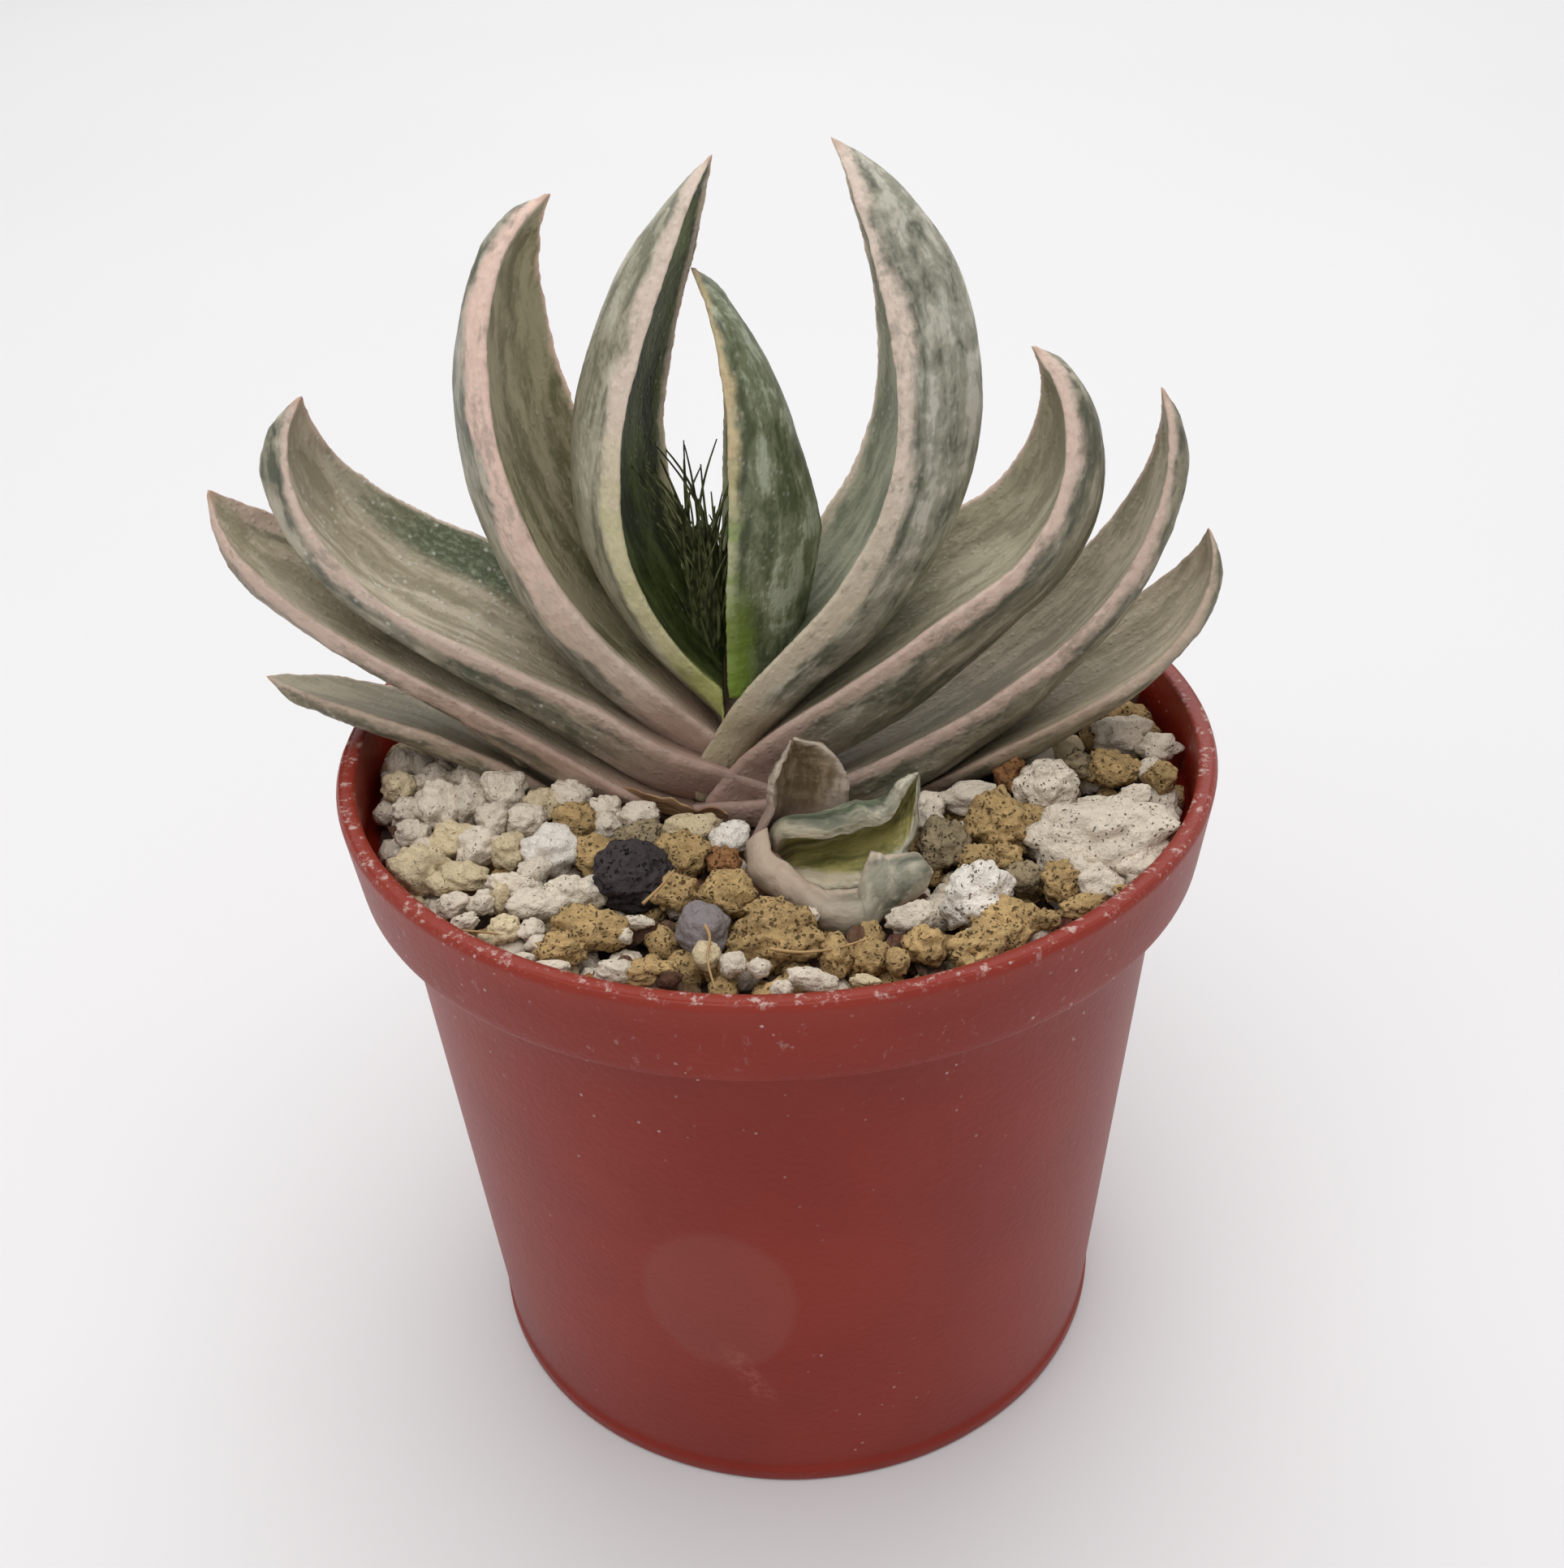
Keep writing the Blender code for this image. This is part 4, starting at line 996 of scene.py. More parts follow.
class GrainShaper:
    """Turns balls into lumpy pumice, pitted baked clay and bubbled lava."""

    @staticmethod
    def lift(kind: GrainKind, way: Vector, offset: Vector) -> float:
        """Return how far the surface stands from a ball of radius 1.

        Args:
            kind: What the grain is made of.
            way: Direction from the centre, of length 1.
            offset: Shift of the noise, different for each grain.
        """
        broad = noise.noise(way * 1.25 + offset)
        middle = noise.noise(way * 2.9 + offset)
        fine = noise.noise(way * 7.0 + offset)
        cell = noise.voronoi(way * 2.1 + offset)[0]
        if kind in (GrainKind.PUMICE, GrainKind.CREAM, GrainKind.BRIGHT):
            lump = min(1.0, cell[0] / 0.62)
            return 0.30 * broad + 0.16 * middle + 0.05 * fine + 0.17 * (1.0 - lump * lump)
        if kind in (GrainKind.TAN, GrainKind.GREY, GrainKind.ORANGE):
            facet = min(0.35, cell[1] - cell[0])
            pit = noise.voronoi(way * 5.5 + offset)[0][0]
            return (0.32 * broad + 0.20 * middle + 0.09 * fine + 0.34 * (facet - 0.2)
                    - 0.08 * max(0.0, 1.0 - pit / 0.28))
        if kind is GrainKind.LAVA:
            pit = noise.voronoi(way * 3.6 + offset)[0][0]
            small = noise.voronoi(way * 7.5 + offset)[0][0]
            return (0.24 * broad + 0.16 * middle + 0.10 * fine
                    - 0.22 * max(0.0, 1.0 - pit / 0.34) - 0.10 * max(0.0, 1.0 - small / 0.30))
        if kind is GrainKind.PURPLE:
            return 0.22 * broad + 0.10 * middle + 0.02 * fine
        return 0.30 * broad + 0.24 * middle + 0.10 * fine

    @classmethod
    def add(cls, bm: bmesh.types.BMesh, grain: Grain) -> None:
        """Add one grain to a mesh in millimetres.

        Args:
            bm: The mesh, with a point colour layer named tone.
            grain: The grain.
        """
        rng = random.Random(grain.seed * 7 + 3)
        offset = Vector([rng.uniform(-60.0, 60.0) for _ in range(3)])
        single = bmesh.new()
        tone = single.verts.layers.float_color.new("tone")
        bright = rng.uniform(0.92, 1.08)
        colour = [min(1.0, share * bright) for share in linear(*GRAIN_TONES[grain.kind])]
        made = bmesh.ops.create_icosphere(single, subdivisions=grain.rounds, radius=1.0)["verts"]
        for vert in made:
            way = vert.co.normalized()
            vert.co = way * (1.0 + cls.lift(grain.kind, way, offset))
            vert[tone] = (*colour, 1.0)
        half = Vector((grain.length, grain.depth, grain.height)) * 0.5
        bmesh.ops.scale(single, vec=half, verts=made)
        tilt = Euler((rng.uniform(-0.35, 0.35), rng.uniform(-0.35, 0.35), math.radians(grain.turn)))
        bmesh.ops.rotate(single, verts=made, matrix=tilt.to_matrix())
        bmesh.ops.translate(single, verts=made, vec=(grain.x, grain.y, grain.z))
        pour(single, bm)


class GritSkin:
    """The rough, pitted face of the grit, as one node group."""

    def __init__(self) -> None:
        """Build the group once."""
        sheet, entry, leave = new_group("Grit skin", (
            ("Pit shade colour", "Color", (0.1, 0.08, 0.05)), ("Pit size", "Float", 0.25),
            ("Pit spread", "Float", 0.5), ("Mottle", "Float", 0.2), ("Pit pitch", "Float", 1.3)), (
            ("Color", "Color"), ("Height", "Float")))
        self.tree = sheet.tree
        given = entry.outputs
        tone = sheet.attribute("tone").outputs["Color"]
        place = sheet.place()
        fine = sheet.noise(sheet.scaled(place, (1.6,) * 3), 1.0, 4.0, 0.65)
        broad = sheet.noise(sheet.scaled(place, (0.35,) * 3), 1.0, 3.0, 0.6)
        bend = sheet.node("TexNoise")
        sheet.feed(bend.inputs["Vector"], sheet.scaled(place, (1.1,) * 3))
        bend.inputs["Scale"].default_value = 1.0
        pitched = sheet.node("VectorMath", operation="SCALE")
        sheet.feed(pitched.inputs[0], sheet.scaled(bend.outputs["Color"], (1.3,) * 3, place))
        sheet.feed(pitched.inputs["Scale"], given["Pit pitch"])
        pits = sheet.cells(pitched.outputs[0], 1.0)
        bent = sheet.maths("MULTIPLY_ADD", sheet.maths("SUBTRACT", fine, 0.5), 0.5, pits)
        pit = sheet.step(bent, given["Pit size"], sheet.maths("MULTIPLY", given["Pit size"], 0.35))
        where = sheet.step(sheet.noise(sheet.scaled(place, (0.8,) * 3), 1.0, 2.0, 0.5),
                           sheet.maths("SUBTRACT", 0.95, given["Pit spread"]),
                           sheet.maths("SUBTRACT", 1.05, given["Pit spread"]))
        pit = sheet.maths("MULTIPLY", pit, where)
        shade = sheet.maths("MULTIPLY_ADD", sheet.maths("SUBTRACT", sheet.maths(
            "MULTIPLY_ADD", fine, 0.5, sheet.maths("MULTIPLY", broad, 0.5)), 0.5),
            sheet.maths("MULTIPLY", given["Mottle"], 4.0), 1.0, clamp=False)
        shaded = sheet.node("VectorMath", operation="SCALE")
        sheet.feed(shaded.inputs[0], tone)
        sheet.feed(shaded.inputs["Scale"], shade)
        # Painted shade: the pits are darkened toward the pit colour, standing in for the shade inside
        # the pores.
        colour = sheet.blend(sheet.maths("MULTIPLY", pit, 0.85), shaded.outputs[0], given["Pit shade colour"])
        sheet.feed(leave.inputs["Color"], colour)
        sheet.feed(leave.inputs["Height"], sheet.maths("SUBTRACT", sheet.maths(
            "MULTIPLY", fine, 0.7), sheet.maths("MULTIPLY", pit, 0.8)))

    def material(self, name: str, pit_shade_colour: Colour, pit_size: float, pit_spread: float,
                 mottle: float, pit_pitch: float, roughness: float) -> bpy.types.Material:
        """Return a grit material.

        Args:
            name: The material's name.
            pit_shade_colour: Display colour inside the pits.
            pit_size: How wide the pits are, as a share of their spacing.
            pit_spread: How much of the surface has pits.
            mottle: How strongly light and dark patches vary.
            pit_pitch: Pits per millimetre.
            roughness: Roughness of the whole surface.

        Returns:
            A Principled material around the shared group.
        """
        material, sheet, shader = new_material(name)
        skin = sheet.node("Group", node_tree=self.tree)
        skin.inputs["Pit shade colour"].default_value = (*linear(*pit_shade_colour), 1.0)
        skin.inputs["Pit size"].default_value = pit_size
        skin.inputs["Pit spread"].default_value = pit_spread
        skin.inputs["Mottle"].default_value = mottle
        skin.inputs["Pit pitch"].default_value = pit_pitch
        sheet.feed(shader.inputs["Base Color"], skin.outputs["Color"])
        shader.inputs["Roughness"].default_value = roughness
        shader.inputs["Specular IOR Level"].default_value = 0.25
        add_bump(sheet, shader, skin.outputs["Height"], 0.0008)
        return material


# Grains that the photo tells apart: kind, x, y, length and apparent height, near the bed's surface
SEEN_GRAINS = (
    ("w", -37.6, 2.9, 2.6, 2.9), ("w", -35.5, 2.3, 1.8, 2.4), ("c", -37.2, -1.2, 2.9, 2.6),
    ("w", -35.6, -5.7, 2.8, 2.5), ("w", -34.0, -0.3, 3.1, 2.6), ("w", -32.8, -5.5, 3.6, 4.6),
    ("w", -30.3, -0.5, 3.4, 2.9), ("w", -30.1, -5.2, 2.8, 4.3), ("w", -26.8, -3.2, 3.8, 4.4),
    ("w", -27.2, -8.2, 2.9, 3.0), ("w", -24.0, -8.4, 3.2, 2.7), ("c", -22.8, -5.8, 2.8, 2.8),
    ("w", -20.1, -4.6, 3.3, 3.0), ("w", -16.7, -6.7, 2.8, 2.3), ("w", -16.4, -9.8, 2.7, 2.2),
    ("w", -13.3, -8.3, 3.5, 2.5), ("g", -13.2, -12.3, 4.4, 2.9), ("t", -19.2, -9.6, 3.7, 4.0),
    ("w", -34.7, -9.8, 2.7, 2.5), ("w", -33.4, -12.1, 1.7, 2.0), ("c", -30.8, -11.4, 4.2, 3.2),
    ("w", -28.2, -12.5, 3.4, 3.4), ("W", -21.2, -14.2, 4.8, 4.1), ("c", -25.0, -13.5, 2.7, 3.2),
    ("w", -22.5, -17.1, 2.6, 2.6), ("w", -23.7, -19.0, 4.3, 2.1), ("c", -29.1, -17.2, 3.6, 2.4),
    ("c", -31.0, -18.0, 1.9, 1.9), ("c", -33.0, -15.8, 4.4, 4.0), ("w", -29.4, -21.4, 2.8, 1.9),
    ("w", -26.8, -21.4, 2.1, 2.1), ("c", -25.2, -20.5, 1.4, 2.6), ("w", -22.0, -22.1, 4.4, 2.6),
    ("w", -19.4, -20.5, 3.0, 3.0), ("w", -17.1, -20.3, 2.8, 2.6), ("t", -16.9, -15.0, 3.6, 3.6),
    ("t", -8.9, -15.9, 4.3, 4.8), ("c", -8.5, -10.9, 4.9, 2.5), ("W", -4.6, -12.7, 3.2, 2.9),
    ("o", -5.2, -17.0, 2.6, 2.8), ("t", -9.3, -21.2, 3.5, 3.0), ("t", -4.9, -21.9, 4.2, 4.2),
    ("c", -6.6, -30.2, 2.0, 2.2), ("t", -16.9, -26.0, 5.9, 3.6), ("t", -19.2, -28.5, 4.0, 2.9),
    ("w", -22.0, -25.7, 2.1, 1.8), ("c", -24.4, -25.5, 2.5, 2.1), ("w", -28.0, -24.0, 2.1, 1.4),
    ("c", -25.7, -26.6, 1.4, 1.1), ("w", -21.3, -27.6, 1.8, 1.4), ("w", -12.9, -25.0, 2.5, 1.1),
    ("w", -13.7, -27.0, 1.1, 1.4), ("w", -14.3, -32.0, 2.9, 2.0), ("t", -11.5, -32.2, 4.2, 2.0),
    ("b", -9.7, -33.4, 2.0, 1.5), ("w", -22.2, -29.4, 1.8, 0.8), ("w", -19.7, -30.8, 2.4, 1.0),
    ("t", -1.1, -24.6, 3.8, 2.7), ("t", 4.6, -31.2, 2.6, 3.2), ("w", -4.3, -31.6, 1.9, 1.9),
    ("w", -2.1, -32.2, 1.6, 1.6), ("w", 2.4, -34.2, 3.4, 1.8), ("w", -0.2, -35.0, 1.6, 1.3),
    ("t", 7.3, -31.5, 2.9, 2.9), ("t", 9.6, -32.3, 1.8, 2.4), ("t", 12.1, -30.4, 3.2, 2.9),
    ("c", 6.8, -34.5, 2.1, 1.0), ("w", 11.3, -26.1, 3.8, 2.4), ("w", 17.8, -21.1, 3.6, 2.2),
    ("w", 1.9, -25.2, 2.2, 1.4), ("w", 16.2, -29.1, 1.6, 1.3), ("t", 19.4, -27.3, 4.8, 3.5),
    ("t", 22.9, -27.1, 2.1, 1.6), ("g", 21.8, -21.0, 3.0, 2.8), ("t", 18.0, -17.8, 3.4, 2.5),
    ("t", 24.2, -11.0, 4.1, 1.8), ("t", 20.4, -17.4, 2.5, 2.5), ("g", 15.1, -15.6, 4.3, 4.3),
    ("w", 14.3, -8.7, 2.7, 2.4), ("w", 18.6, -7.4, 5.3, 2.7), ("w", 14.1, -11.4, 2.3, 2.9),
    ("o", 22.7, -3.3, 3.0, 3.9), ("w", 27.1, -3.2, 3.9, 2.1), ("g", 29.5, -2.6, 2.7, 3.0),
    ("t", 32.7, -3.5, 4.8, 3.3), ("w", 34.7, 2.9, 4.9, 3.4), ("w", 37.9, 0.2, 3.4, 2.7),
    ("w", 36.5, -3.8, 2.4, 2.1), ("t", 37.2, -5.5, 2.7, 3.0), ("w", 30.5, -8.9, 3.2, 1.2),
    ("w", 34.2, -8.1, 2.6, 1.8), ("w", 35.4, -13.5, 2.9, 2.9), ("w", 32.1, -20.3, 3.9, 3.1),
    ("w", 26.7, -20.9, 2.2, 3.1), ("w", 28.2, -22.4, 3.6, 2.8), ("t", 24.9, -22.2, 3.0, 3.6),
    ("t", 26.3, -25.5, 3.5, 1.9), ("t", 30.0, -23.4, 2.2, 1.4), ("t", 33.3, -10.2, 2.6, 1.2),
    ("w", 6.6, -2.9, 1.9, 1.2),
)
GRAIN_LETTERS = {
    "w": GrainKind.PUMICE, "c": GrainKind.CREAM, "W": GrainKind.BRIGHT, "t": GrainKind.TAN,
    "o": GrainKind.ORANGE, "g": GrainKind.GREY, "b": GrainKind.BARK,
}


@dataclass
class GritFilling:
    """The grit, the bark litter and the roots that fill the pot's top."""

    surface: float = 65.7
    fill_level: float = 63.4
    fill_tries: int = 5200
    behind_tries: int = 3600
    litter_count: int = 330
    boundary_x: float = -10.0
    boundary_slope: float = 0.26
    seed: int = 21

    def is_left(self, x: float, y: float) -> bool:
        """Say whether a place lies in the white grit on the left."""
        return x < self.boundary_x + self.boundary_slope * min(y, 0.0)

    @staticmethod
    def under_plant(x: float, y: float) -> bool:
        """Say whether a place lies under the fan's feet or inside the side shoot."""
        fan = -26.0 < x < 22.0 and abs(y - 3.0) < 9.5
        shoot = ((x - 5.0) / 8.0)**2 + ((y + 17.0) / 5.5)**2 < 1.0
        return fan or shoot

    def seen(self) -> list[Grain]:
        """Return the grains that the photo tells apart, near the surface."""
        found = []
        for number, (letter, x, y, length, tall) in enumerate(SEEN_GRAINS):
            reach = math.hypot(x, y)
            limit = BED_INNER_RADIUS - 0.45 * length
            if reach > limit:
                x, y = x * limit / reach, y * limit / reach
            found.append(Grain(GRAIN_LETTERS[letter], x, y, self.surface + 0.12 * tall,
                               length * 1.14, tall * 1.16, tall * 1.02, 500 + number,
                               rounds=4 if length > 2.0 else 3))
        return found

    def thrown(self, tries: int, radius: tuple[float, float], level: float, near: float,
               far: float, rounds: int, seed: int, spacing: float) -> list[Grain]:
        """Throw grains at random wherever there is still room.

        Args:
            tries: How many throws to make.
            radius: Least and greatest radius of a grain.
            level: Height of the grains' centres.
            near: Lowest y of the area.
            far: Highest y of the area.
            rounds: Times that each ball is divided.
            seed: Seed of the throws.
            spacing: Least distance between two grains as a share of their radii.

        Returns:
            The grains that found room.
        """
        rng = random.Random(seed)
        placed: list[tuple[float, float, float]] = []
        found = []
        for number in range(tries):
            size = rng.uniform(*radius)
            angle = rng.uniform(0.0, 2.0 * math.pi)
            reach = (BED_INNER_RADIUS - size * 0.9) * math.sqrt(rng.random())
            x, y = reach * math.cos(angle), reach * math.sin(angle)
            draw, lean, squash = rng.random(), rng.uniform(0.0, 360.0), rng.uniform(0.78, 1.15)
            lift = rng.uniform(-0.5, 0.5)
            if not near <= y <= far:
                continue
            sunk = 7.0 if self.under_plant(x, y) else 0.0
            if any((x - other[0])**2 + (y - other[1])**2 < ((size + other[2]) * spacing)**2
                   for other in placed):
                continue
            placed.append((x, y, size))
            if self.is_left(x, y):
                kind = (GrainKind.PUMICE if draw < 0.6 else GrainKind.CREAM if draw < 0.88
                        else GrainKind.BRIGHT if draw < 0.95 else GrainKind.TAN)
            else:
                kind = (GrainKind.TAN if draw < 0.60 else GrainKind.PUMICE if draw < 0.80
                        else GrainKind.GREY if draw < 0.92 else GrainKind.ORANGE if draw < 0.96
                        else GrainKind.CREAM)
            found.append(Grain(kind, x, y, level + lift - sunk, size * 2.2, size * 2.0 * squash,
                               size * 1.9, seed * 10000 + number, lean, rounds))
        return found

    def build_grit(self, grit: GritSkin) -> None:
        """Lay all the grains in two beds, white on the left and mixed on the right."""
        white = grit.material("White pumice", (138, 118, 94), 0.24, 0.46, 0.22, 1.9, 0.92)
        tan = grit.material("Tan grit", (96, 70, 40), 0.34, 0.60, 0.55, 2.0, 0.92)
        everything = self.seen()
        everything += self.thrown(self.fill_tries, (1.0, 1.9), self.fill_level, -41.0, 0.0, 3,
                                  self.seed, 0.86)
        everything += self.thrown(self.behind_tries, (1.3, 2.7), self.surface - 0.7, 1.0, 41.0, 3,
                                  self.seed + 1, 0.80)
        pale = (GrainKind.PUMICE, GrainKind.CREAM, GrainKind.BRIGHT)
        for name, node, slot, material, wanted in (
                ("white_pumice_grit", "pumice_bed", "white_pumice", white, True),
                ("tan_grit", "tan_bed", "tan_grit", tan, False)):
            bm = bmesh.new()
            bm.verts.layers.float_color.new("tone")
            for grain in everything:
                if (grain.kind in pale) == wanted:
                    GrainShaper.add(bm, grain)
            piece = piece_from(bm, name, material)
            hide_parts(node)
            log.info("%s: %d faces", name, len(piece.data.polygons))

    def build_stones(self, grit: GritSkin) -> None:
        """Build the larger stones, each in place of its own solid."""
        white = grit.material("Large pumice", (124, 104, 82), 0.28, 0.56, 0.22, 1.8, 0.92)
        tan = grit.material("Large tan stone", (96, 70, 40), 0.36, 0.64, 0.55, 1.9, 0.92)
        lava = grit.material("Lava stone", (22, 18, 20), 0.34, 0.80, 0.25, 1.3, 0.85)
        purple = grit.material("Grey purple stone", (96, 88, 90), 0.1, 0.3, 0.12, 1.2, 0.55)
        for node, kind, x, y, length, depth, height, turn, slot, material in (
                ("lava_stone", GrainKind.LAVA, -13.4, -18.9, 7.6, 6.6, 5.6, 20, "dark_lava", lava),
                ("purple_stone", GrainKind.PURPLE, -6.9, -26.6, 4.6, 5.0, 4.2, 0,
                 "grey_purple_stone", purple),
                ("pumice_stone_1", GrainKind.PUMICE, 29.6, -16.7, 12.6, 7.4, 6.2, -8,
                 "white_pumice", white),
                ("pumice_stone_2", GrainKind.PUMICE, 25.6, -7.2, 5.8, 5.0, 5.0, 10,
                 "white_pumice", white),
                ("pumice_stone_3", GrainKind.BRIGHT, 17.2, -24.4, 6.0, 5.4, 5.4, 35,
                 "white_pumice", white),
                ("tan_stone_1", GrainKind.TAN, 20.6, -13.4, 5.8, 6.6, 5.6, 15, "tan_grit", tan),
                ("tan_stone_2", GrainKind.TAN, -0.6, -28.6, 8.6, 5.2, 4.6, -10, "tan_grit", tan),
                ("tan_stone_3", GrainKind.TAN, 17.4, -31.0, 8.4, 4.6, 4.2, 36, "tan_grit", tan)):
            bm = bmesh.new()
            bm.verts.layers.float_color.new("tone")
            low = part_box(node)[0].z / MM
            GrainShaper.add(bm, Grain(kind, x, y, low + height * 0.42, length, depth, height * 1.1,
                                      900 + len(node) * 7 + round(x), turn, 5))
            piece = piece_from(bm, node + "_rough", material)
            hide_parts(node)

    def build_litter(self) -> None:
        """Scatter bark chips and crumbs of soil between the grains."""
        material, sheet, shader = new_material("Bark litter")
        tone = sheet.attribute("tone").outputs["Color"]
        place = sheet.place()
        fibre = sheet.noise(sheet.scaled(place, (2.6, 0.8, 1.6)), 1.0, 4.0, 0.65)
        sheet.feed(shader.inputs["Base Color"], sheet.blend(sheet.step(fibre, 0.35, 0.7), tone,
                                                           linear(112, 84, 62)))
        shader.inputs["Roughness"].default_value = 0.9
        add_bump(sheet, shader, fibre, 0.0004)
        rng = random.Random(self.seed + 7)
        bm = bmesh.new()
        bm.verts.layers.float_color.new("tone")
        for _ in range(self.litter_count):
            angle, reach = rng.uniform(0.0, 2.0 * math.pi), BED_INNER_RADIUS * math.sqrt(rng.random())
            reach = min(reach, BED_INNER_RADIUS - 2.6)
            if self.under_plant(reach * math.cos(angle), reach * math.sin(angle)):
                continue
            chip = bmesh.new()
            layer = chip.verts.layers.float_color.new("tone")
            made = bmesh.ops.create_icosphere(chip, subdivisions=2, radius=0.5)["verts"]
            offset = Vector([rng.uniform(-50.0, 50.0) for _ in range(3)])
            colour = linear(*(value * rng.uniform(0.75, 1.25) for value in (74, 48, 34)))
            for vert in made:
                vert.co *= 1.0 + 0.7 * noise.noise(vert.co * 3.0 + offset)
                vert[layer] = (*colour, 1.0)
            bmesh.ops.scale(chip, vec=(rng.uniform(1.6, 4.8), rng.uniform(0.8, 2.2),
                                       rng.uniform(0.4, 1.0)), verts=made)
            turn = Euler((rng.uniform(-0.6, 0.6), rng.uniform(-0.6, 0.6), rng.uniform(0.0, 6.28)))
            bmesh.ops.rotate(chip, verts=made, matrix=turn.to_matrix())
            bmesh.ops.translate(chip, verts=made, vec=(
                reach * math.cos(angle), reach * math.sin(angle), rng.uniform(62.9, 64.9)))
            pour(chip, bm)
        litter = piece_from(bm, "bark_litter", material, smooth=False)

    def build(self, grit: GritSkin) -> None:
        """Build everything that fills the pot's top."""
        self.build_grit(grit)
        self.build_stones(grit)
        self.build_litter()
        self.build_roots()

    def build_roots(self) -> None:
        """Lay a few thin pale roots over the grit in front."""
        material, sheet, shader = new_material("Pale root")
        fine = sheet.noise(sheet.place(), 0.9, 3.0, 0.6)
        sheet.feed(shader.inputs["Base Color"], sheet.blend(fine, linear(196, 164, 112),
                                                           linear(150, 112, 70)))
        shader.inputs["Roughness"].default_value = 0.7
        runs = (
            ((-6.6, -28.9, 68.1), (-6.2, -30.2, 67.8), (-6.4, -32.2, 66.8), (-5.8, -34.6, 65.6)),
            ((-1.2, -31.6, 67.4), (1.4, -32.0, 67.2), (4.4, -32.2, 67.6), (7.4, -31.2, 67.8)),
            ((-12.2, -24.2, 67.2), (-10.6, -22.8, 68.0), (-9.4, -21.2, 68.6)),
            ((-30.5, -26.0, 66.4), (-27.2, -27.4, 67.4), (-24.6, -27.2, 66.8)),
        )
        bm = bmesh.new()
        for run in runs:
            add_thread(bm, [Vector(point) for point in run], 0.17, 0.08, 7)
        roots = piece_from(bm, "pale_roots", material)


def add_thread(bm: bmesh.types.BMesh, points: list[Vector], thick: float, thin: float,
               sides: int, steps: int = 6) -> None:
    """Add a tapering thread through some points to a mesh.

    Args:
        bm: The mesh in millimetres.
        points: The points that the thread passes.
        thick: Its radius at the first point.
        thin: Its radius at the last point.
        sides: How many sides it has.
        steps: How many rings lie between two points.
    """
    path = []
    for i in range(len(points) - 1):
        before = points[max(i - 1, 0)]
        after = points[min(i + 2, len(points) - 1)]
        for step in range(steps):
            t = step / steps
            first, second = points[i], points[i + 1]
            path.append(0.5 * ((2.0 * first) + (second - before) * t
                               + (2.0 * before - 5.0 * first + 4.0 * second - after) * t * t
                               + (3.0 * first - before - 3.0 * second + after) * t**3))
    path.append(points[-1].copy())
    thread = bmesh.new()
    made = bmesh.ops.create_uvsphere(thread, u_segments=sides, v_segments=len(path) + 1,
                                     radius=1.0)["verts"]
    for vert in made:
        ring = round(math.acos(max(-1.0, min(1.0, vert.co.z))) / math.pi * (len(path) + 1))
        index = min(max(ring - 1, 0), len(path) - 1)
        ahead = path[min(index + 1, len(path) - 1)] - path[max(index - 1, 0)]
        side = ahead.cross(Vector((0.31, 0.47, 0.83))).normalized()
        other = ahead.cross(side).normalized()
        angle = math.atan2(vert.co.y, vert.co.x)
        radius = thick + (thin - thick) * index / (len(path) - 1)
        if ring in (0, len(path) + 1):
            radius = 0.0
        vert.co = path[index] + (side * math.cos(angle) + other * math.sin(angle)) * radius
    bmesh.ops.recalc_face_normals(thread, faces=thread.faces)
    pour(thread, bm)


